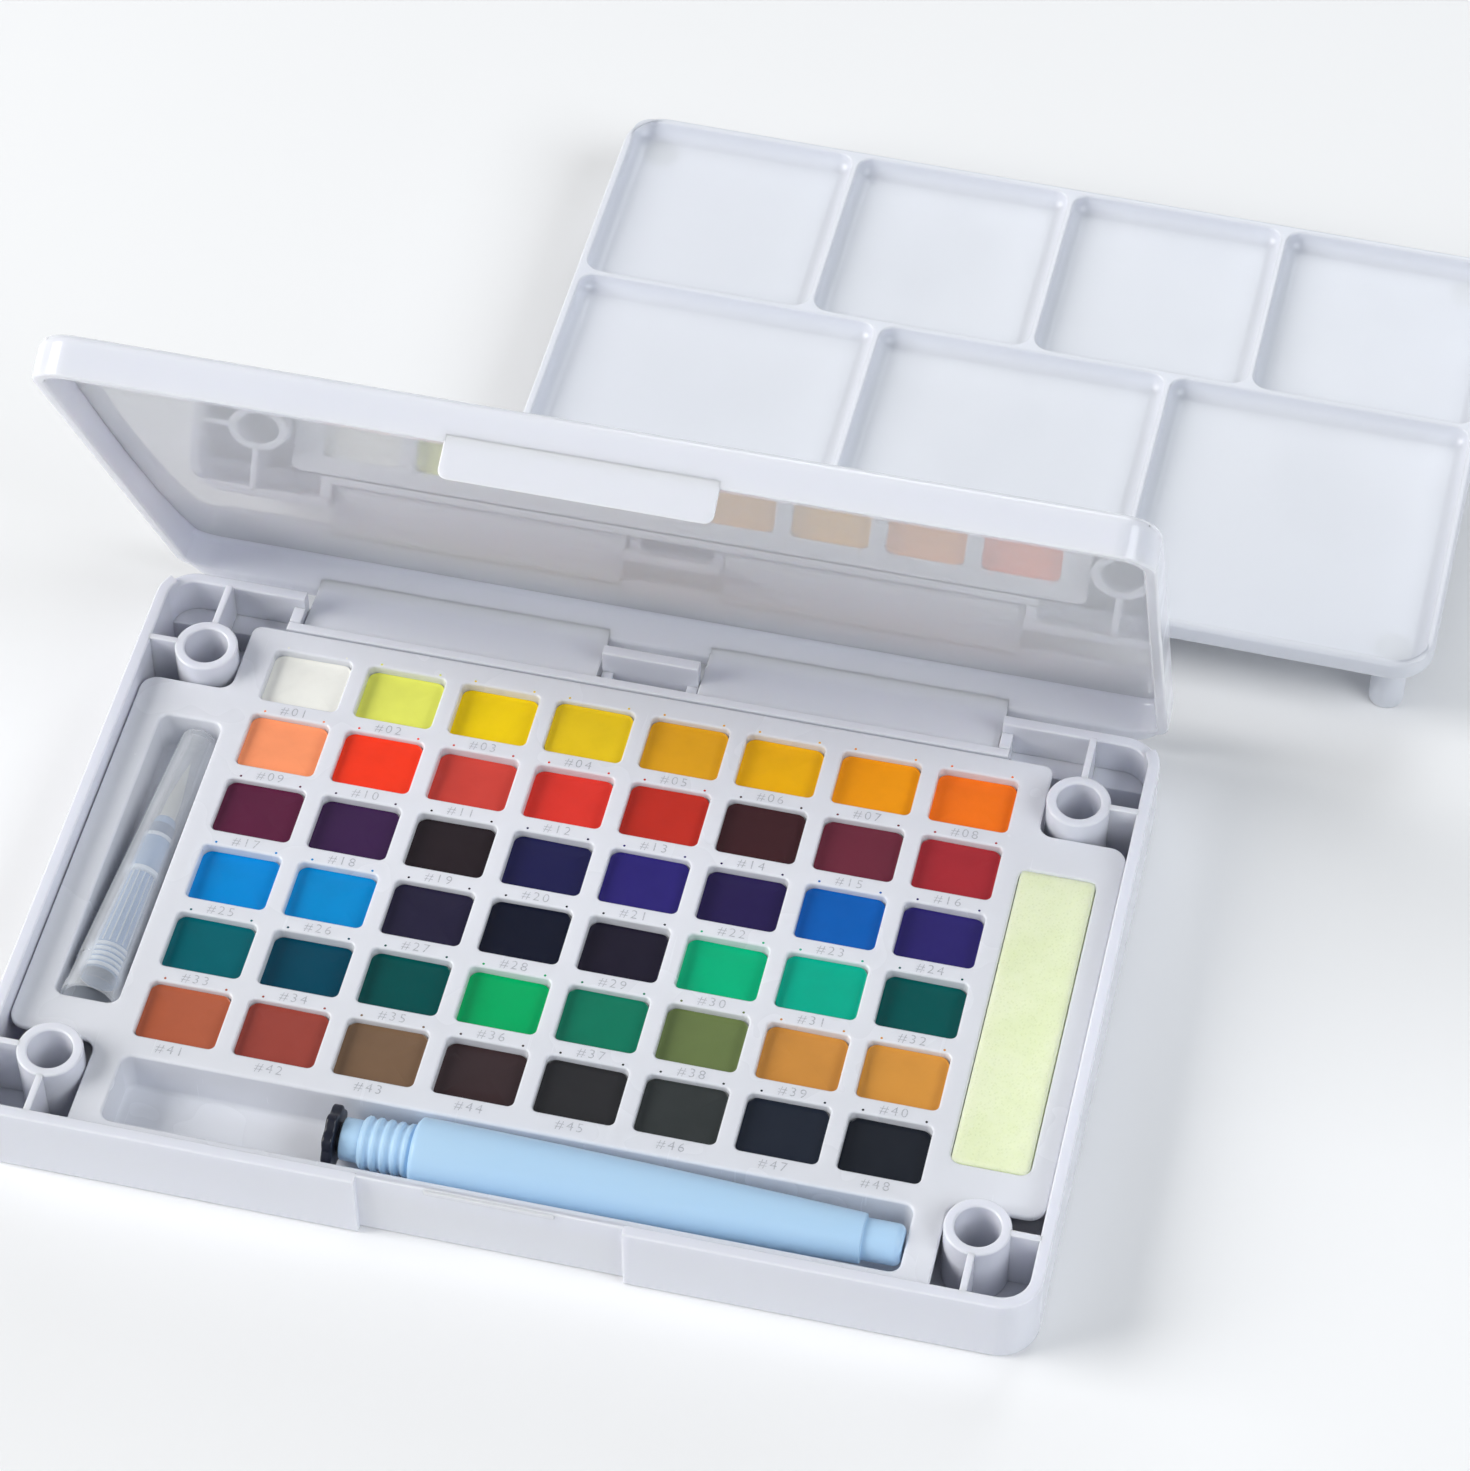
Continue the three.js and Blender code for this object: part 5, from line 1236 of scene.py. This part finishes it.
def palette_wells():
    """Left, right, front and back of each well at the rim, from the shares of the dividers."""
    length, depth = PALETTE_SIZE
    side, end = length / 2 - PALETTE_RIM, depth / 2 - PALETTE_RIM
    middle = depth / 2 - MIDDLE_DIVIDER_SHARE * depth
    half = PALETTE_DIVIDER / 2
    wells = []
    for shares, front, back in (
        (REAR_DIVIDER_SHARES, middle + half, end), (FRONT_DIVIDER_SHARES, -end, middle - half),
    ):
        dividers = [share * length - length / 2 for share in shares]
        lefts = [-side] + [place + half for place in dividers]
        rights = [place - half for place in dividers] + [side]
        wells.extend((left, right, front, back) for left, right in zip(lefts, rights))
    return wells


def palette_piece():
    """A rimmed plate, its wells' sides curving down to flat floors, on four round pegs."""
    length, depth = PALETTE_SIZE
    top = palette_high[2]
    surface = Surface()
    plate = Oblong(-length / 2, length / 2, -depth / 2, depth / 2, PALETTE_CORNER, 10)
    inner = -PALETTE_RIM + PALETTE_LIP
    rim = rounded_path([
        (-PALETTE_UNDER_REACH, PEG_LENGTH, 0), (0, PEG_LENGTH, PALETTE_EDGE_ROUND),
        (0, top, PALETTE_EDGE_ROUND), (inner, top, 0),
    ], 6)
    surface.add_rings(plate.rings(rim), closed_start=True)
    upper = [plate.ring(inner)]
    share = np.linspace(0, 1, 12)
    for sides in palette_wells():
        well = Oblong(*sides, PALETTE_WELL_CORNER, 8)
        slope = np.column_stack([
            -PALETTE_WELL_SLOPE * (1 - np.cos(share * math.pi / 2)),
            top - PALETTE_LIP - (PALETTE_WELL_DEPTH - PALETTE_LIP) * np.sin(share * math.pi / 2),
        ])
        lip = rounded_path([
            (PALETTE_LIP, top, 0), (0, top, PALETTE_LIP_ROUND), (0, top - 2 * PALETTE_LIP, 0),
        ], 5)
        surface.add_rings(well.rings(np.concatenate([lip[:-1], slope[1:]])), closed_end=True)
        upper.append(well.ring(PALETTE_LIP))
    surface.add_fill(upper, top)
    root = PEG_LENGTH + PEG_SUNK
    profile = rounded_path([
        (0, 0, 0), (PEG_RADIUS, 0, PEG_TIP_ROUND), (PEG_RADIUS, root, 0), (0, root, 0),
    ], 4)
    for side_x in (-1, 1):
        for side_y in (-1, 1):
            place = Matrix.Translation((side_x * PEG_PLACE[0], side_y * PEG_PLACE[1], 0))
            surface.join(turned_solid(profile[1:-1], 40).move(place))
    middle = (palette_low + palette_high) / 2
    place = Matrix.Translation((middle[0], middle[1], 0)) @ Matrix.Rotation(PALETTE_TURN, 4, "Z")
    surface.move(place)
    make_piece(
        "mixing_palette", surface, FINISH["palette_white"], "palette", ["palette"],
    )


# Water brush

def along_barrel():
    """Places a shape turned about Z along the barrel, its mouth to the left."""
    return Matrix.Translation(BARREL_AXIS) @ Matrix.Rotation(math.pi / 2, 4, "Y")


def barrel_piece():
    """The squeeze barrel turned about its axis: neck, thread rings, shoulder, tapering body, knob.

    The body's radius is BARREL_BODY_RADIUS - BARREL_BODY_TAPER * t ** BARREL_BODY_CURVE.
    """
    thread = []
    for k in range(THREAD_TURNS):
        start = THREAD_START + THREAD_PITCH * k
        thread += [(radius, start + way, rounding) for radius, way, rounding in THREAD_TURN]
    t = np.linspace(0, 1, 24)
    body = np.column_stack([
        BARREL_BODY_RADIUS - BARREL_BODY_TAPER * t ** BARREL_BODY_CURVE,
        BARREL_BODY_START + BARREL_BODY_LENGTH * t,
    ])
    outside = np.concatenate([
        rounded_path([*BARREL_MOUTH, *thread, *BARREL_SHOULDER], 3),
        body[1:-1],
        rounded_path([(*body[-1], 0), *BARREL_KNOB], 6),
    ])
    inside = np.concatenate([BARREL_END, (body - [BARREL_WALL, 0.0])[::-1][1:], BARREL_NECK_BORE])
    surface = Surface()
    surface.add_rings(turned_rings(outside, 72), closed_end=True)
    surface.add_rings(turned_rings(inside, 72), closed_start=True)
    surface.add_rings(turned_rings(BARREL_MOUTH_BEVEL, 72))
    surface.move(along_barrel())
    make_piece(
        "barrel_shell", surface, FINISH["barrel_blue"], "barrel", ["brush_barrel"], 40,
    )


def plug_piece():
    """The black plug: a disc with a lobed edge, and the sleeve in the neck.

    The edge's radius is PLUG_RADIUS - PLUG_LOBE_DEPTH * (1 - cos(PLUG_LOBES * angle)).
    """
    angle = np.linspace(0, 2 * math.pi, 120, endpoint=False)
    lobed = PLUG_RADIUS - PLUG_LOBE_DEPTH * (1 - np.cos(PLUG_LOBES * angle))
    rings = np.stack([
        np.column_stack([(lobed + o) * np.cos(angle), (lobed + o) * np.sin(angle), np.full(len(angle), z)])
        for o, z in rounded_path(PLUG_DISC, 5)
    ])
    surface = Surface()
    surface.add_rings(rings, True, True)
    surface.join(turned_solid(rounded_path(PLUG_SLEEVE, 4)[1:-1], 40))
    surface.move(along_barrel())
    make_piece(
        "barrel_plug_black", surface, FINISH["plug_black"], "barrel", ["barrel_plug"], 40,
    )


def along_cap():
    """Places a shape turned about Z along the cap, which lies on its side, a little askew."""
    tilt = math.atan2(CAP_RADII[0] - CAP_RADII[1], CAP_LENGTH)
    skew = math.atan2(CAP_SKEW, CAP_LENGTH)
    stand = Matrix.Rotation(-math.pi / 2, 4, "X")
    return (Matrix.Translation(CAP_MOUTH) @ Matrix.Rotation(-skew, 4, "Z")
            @ Matrix.Rotation(-tilt, 4, "X") @ stand)


def cap_radius(distance):
    """The cap's outer radius, which shrinks evenly from its mouth to its tip."""
    return CAP_RADII[0] + (CAP_RADII[1] - CAP_RADII[0]) * distance / CAP_LENGTH


HEAD_SKIRT_RADIUS = cap_radius(HEAD_SKIRT_AT) - CAP_WALL - HEAD_SKIRT_GAP


def cap_piece():
    """The clear cap: a long cone with a step ring at its mouth and a round closed tip."""
    end = CAP_LENGTH
    mouth = cap_radius(0) - CAP_WALL
    first, second, third, fourth = CAP_RING
    outside = rounded_path([
        (mouth, 0, 0), (cap_radius(0), 0, CAP_MOUTH_ROUND), (cap_radius(first), first, 0),
        (cap_radius(second) - CAP_RING_DEPTH, second, 0), (cap_radius(third) - CAP_RING_DEPTH, third, 0),
        (cap_radius(fourth), fourth, 0), (cap_radius(end), end, CAP_TIP_ROUND), (CAP_TIP, end, 0),
    ], 5)
    back = end - CAP_WALL
    inside = rounded_path([
        (CAP_TIP, back, 0), (cap_radius(end) - CAP_WALL, back, CAP_INNER_ROUND), (mouth, 0, 0),
    ], 4)
    surface = Surface()
    surface.add_rings(turned_rings(outside), closed_end=True)
    surface.add_rings(turned_rings(inside), closed_start=True)
    surface.move(along_cap())
    make_piece("clear_cap", surface, CAP_CLEAR, "head", ["brush_cap"], 40)


def head_piece():
    """The brush head's core: skirt, tapering grip, tube, ferrule step and nib, one profile."""
    mouth = (*HEAD_SOCKET[-1], 0)
    skirt = [(HEAD_SKIRT_RADIUS + inset, way, rounding) for inset, way, rounding in HEAD_SKIRT]
    profile = rounded_path([mouth, *skirt, *HEAD_TUBE, *HEAD_NIB], 3)
    surface = Surface()
    surface.add_rings(turned_rings(np.vstack([profile, HEAD_BORE])), closed_end=True)
    surface.add_rings(turned_rings(HEAD_SOCKET), closed_start=True)
    surface.move(along_cap())
    make_piece(
        "head_moulding", surface, FINISH["head_grey"], "head", ["brush_head"], 40,
    )


def head_rings_piece():
    """Rings round the skirt, and the flange and collar, each a short turned band, their pale colour a painted
    highlight.
    """
    outer, core = HEAD_SKIRT_RADIUS, HEAD_SKIRT_RADIUS - HEAD_RING_DEPTH
    bands = []
    for k in range(HEAD_RINGS):
        start, end = (place + HEAD_RING_PITCH * k for place in HEAD_RING_ENDS)
        bands.append((start, end, outer, core))
    surface = Surface()
    for start, end, outer, core in (*bands, *HEAD_COLLARS):
        surface.join(turned_band(rounded_path([
            (core, start, 0), (outer, start, HEAD_RING_ROUND),
            (outer, end, HEAD_RING_ROUND), (core, end, 0),
        ], 3)))
    surface.move(along_cap())
    # The rings' pale colour is a painted highlight
    make_piece("head_rings", surface, FINISH["head_painted_highlight"], "head", [], 40)


def head_ribs_piece():
    """Fine lengthwise ribs on the grip, their pale colour a painted highlight: a ring whose radius pulses to
    HEAD_RIBS narrow crests.

    Its radius is that of the tapering grip, plus HEAD_RIB_CREST * max(0, cos(HEAD_RIBS * angle)) ** 6,
    less HEAD_RIB_FOOT.
    """
    angle = np.linspace(0, 2 * math.pi, 12 * HEAD_RIBS, endpoint=False)
    crest = HEAD_RIB_CREST * np.maximum(0, np.cos(HEAD_RIBS * angle)) ** 6 - HEAD_RIB_FOOT
    t = np.linspace(0, 1, 5)
    base = HEAD_SKIRT_RADIUS - HEAD_RIB_INSET - HEAD_RIB_TAPER * t
    reach = HEAD_RIB_START + HEAD_RIB_LENGTH * t
    radius = base[:, None] + crest
    along = np.repeat(reach[:, None], len(angle), 1)
    rings = np.stack([radius * np.cos(angle), radius * np.sin(angle), along], -1)
    surface = Surface()
    surface.add_rings(rings, True, True)
    surface.move(along_cap())
    # The ribs' pale colour is a painted highlight along their crests
    make_piece("head_ribs", surface, FINISH["head_painted_highlight"], "head", [], 40)


def ferrule_piece():
    """The dark ferrule between the collar and the nib, a short turned sleeve."""
    surface = turned_band(rounded_path(FERRULE, 4))
    surface.move(along_cap())
    make_piece("head_ferrule", surface, FINISH["ferrule_blue"], "head", [], 40)


def tuft_piece():
    """The tuft: thin tapering strands, each a three-sided spike bent in to the point.

    Strand k starts on a sunflower spiral at the nib, its radius as the root of k, swells by
    TUFT_SWELL * sin(pi * t ** 0.7) and closes on the axis as (1 - t ** 2.2).
    """
    k = np.arange(TUFT_STRANDS)
    start_radius = TUFT_RADIUS * np.sqrt((k + 0.5) / TUFT_STRANDS)
    angle = k * math.pi * (3 - math.sqrt(5))
    t = np.linspace(0, 1, 7)
    spread_out = (1 + TUFT_SWELL * np.sin(math.pi * t ** 0.7)) * (1 - t ** 2.2)
    reach = TUFT_START + (TUFT_LENGTH - TUFT_SHORTENING * start_radius[:, None]) * t
    radius = start_radius[:, None] * spread_out
    thick = STRAND_RADIUS * (1 - STRAND_TAPER * t)
    side = np.array([0, 2, 4]) * math.pi / 3
    centre = np.stack([radius * np.cos(angle)[:, None], radius * np.sin(angle)[:, None], reach], -1)
    round_it = np.stack([np.cos(side), np.sin(side), np.zeros(3)], -1)
    rings = centre[:, :, None, :] + thick[None, :, None, None] * round_it[None, None]
    surface = Surface()
    for strand in rings:
        surface.add_rings(strand, True, True)
    surface.move(along_cap())
    make_piece(
        "brush_bristles", surface, FINISH["bristle_white"], "head", ["brush_tuft"], 60, False,
    )


# Sponge

def sponge_piece():
    """A foam strip: a box of fine grids whose edges round off and whose faces dimple slightly.

    Each point starts on a unit box, is pushed to the rounded box with edge radius r by
    core + r * direction, and dimples by the product of a sine along each axis.
    """
    low, high = in_mm(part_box("sponge"))
    middle, half = (low + high) / 2, (high - low) / 2 + np.array(SPONGE_SPREAD)
    surface = Surface()
    for axis in range(3):
        first, second = [a for a in range(3) if a != axis]
        u = np.linspace(-1, 1, SPONGE_GRID[first] + 1)
        v = np.linspace(-1, 1, SPONGE_GRID[second] + 1)
        grid_u, grid_v = np.meshgrid(u, v, indexing="ij")
        for side in (-1.0, 1.0):
            unit = np.zeros(grid_u.shape + (3,))
            unit[..., first], unit[..., second], unit[..., axis] = grid_u, grid_v, side
            flat = unit * half
            core = np.clip(flat, -(half - SPONGE_EDGE_ROUND), half - SPONGE_EDGE_ROUND)
            away = flat - core
            away /= np.maximum(np.linalg.norm(away, axis=-1, keepdims=True), 1e-9)
            points = core + away * SPONGE_EDGE_ROUND
            ripple = np.prod(np.sin(points * SPONGE_WAVE_TURNS + SPONGE_WAVE_STARTS), axis=-1)
            points += away * (SPONGE_DIMPLE * ripple[..., None] - SPONGE_SETTLE)
            rows, columns = grid_u.shape
            here = (np.arange(rows - 1)[:, None] * columns + np.arange(columns - 1)[None, :]).ravel()
            quads = np.stack([here, here + columns, here + columns + 1, here + 1], -1)
            order = np.linalg.det(np.eye(3)[[first, second, axis]]) * side
            surface.add((points + middle).reshape(-1, 3), quads, order < 0)
    piece = make_piece(
        "sponge_strip", surface, SPONGE_FOAM, "sponge", ["sponge"], 180, False,
    )


# Stage, light and camera

def stage():
    """A plain pale floor under everything."""
    mesh = bpy.data.meshes.new("floor")
    corners = [(x * FLOOR_HALF, y * FLOOR_HALF, 0) for x, y in ((-1, -1), (1, -1), (1, 1), (-1, 1))]
    mesh.from_pydata(corners, [], [(0, 1, 2, 3)])
    floor = bpy.data.objects.new("floor", mesh)
    bpy.context.scene.collection.objects.link(floor)
    material, tree, shader, place = new_material("floor_white")
    shade = mixed(tree, spread(tree, noise(tree, *FLOOR_CLOUDS, place), 0.3, 0.7), *FLOOR_SHADES)
    tree.links.new(shade, shader.inputs["Base Color"])
    shader.inputs["Roughness"].default_value = FLOOR_ROUGHNESS
    mesh.materials.append(material)


def lights():
    """Soft boxes round the object, the key at its left, and a faint bluish surround."""
    for name, place, size, power, tint in SOFT_BOXES:
        data = bpy.data.lights.new(name, "AREA")
        data.shape = "RECTANGLE"
        data.size = data.size_y = size
        data.energy = power
        data.color = tint
        light = bpy.data.objects.new(name, data)
        light.location = place
        light.rotation_euler = (Vector(LIGHT_TARGET) - Vector(place)).to_track_quat("-Z", "Y").to_euler()
        bpy.context.scene.collection.objects.link(light)
    world = bpy.data.worlds.new("studio_surround")
    world.use_nodes = True
    surround = next(node for node in world.node_tree.nodes if node.type == "BACKGROUND")
    surround.inputs["Color"].default_value = SURROUND_TINT
    surround.inputs["Strength"].default_value = SURROUND_STRENGTH
    bpy.context.scene.world = world
    bpy.context.scene.view_settings.view_transform = "Standard"


def camera():
    """The photograph's view: a long lens from the front right, half way up."""
    data = bpy.data.cameras.new("camera")
    data.sensor_width = CAMERA_SENSOR
    data.lens = CAMERA_LENS
    data.clip_end = CAMERA_REACH
    view = bpy.data.objects.new("camera", data)
    level, rise = math.cos(CAMERA_ELEVATION), math.sin(CAMERA_ELEVATION)
    away = Vector((math.sin(CAMERA_AZIMUTH) * level, -math.cos(CAMERA_AZIMUTH) * level, rise))
    view.location = Vector(CAMERA_TARGET) + away * CAMERA_DISTANCE
    view.rotation_euler = away.to_track_quat("Z", "Y").to_euler()
    bpy.context.scene.collection.objects.link(view)
    bpy.context.scene.camera = view


for make in (case_pieces, lid_pieces, tray_piece, number_piece):
    make()
for index, paint in enumerate(PAINTS):
    paint_piece(paint, index + 1)
for make in (
    palette_piece, barrel_piece, plug_piece, cap_piece, head_piece, head_rings_piece, head_ribs_piece,
    ferrule_piece, tuft_piece, sponge_piece, stage, lights, camera,
):
    make()
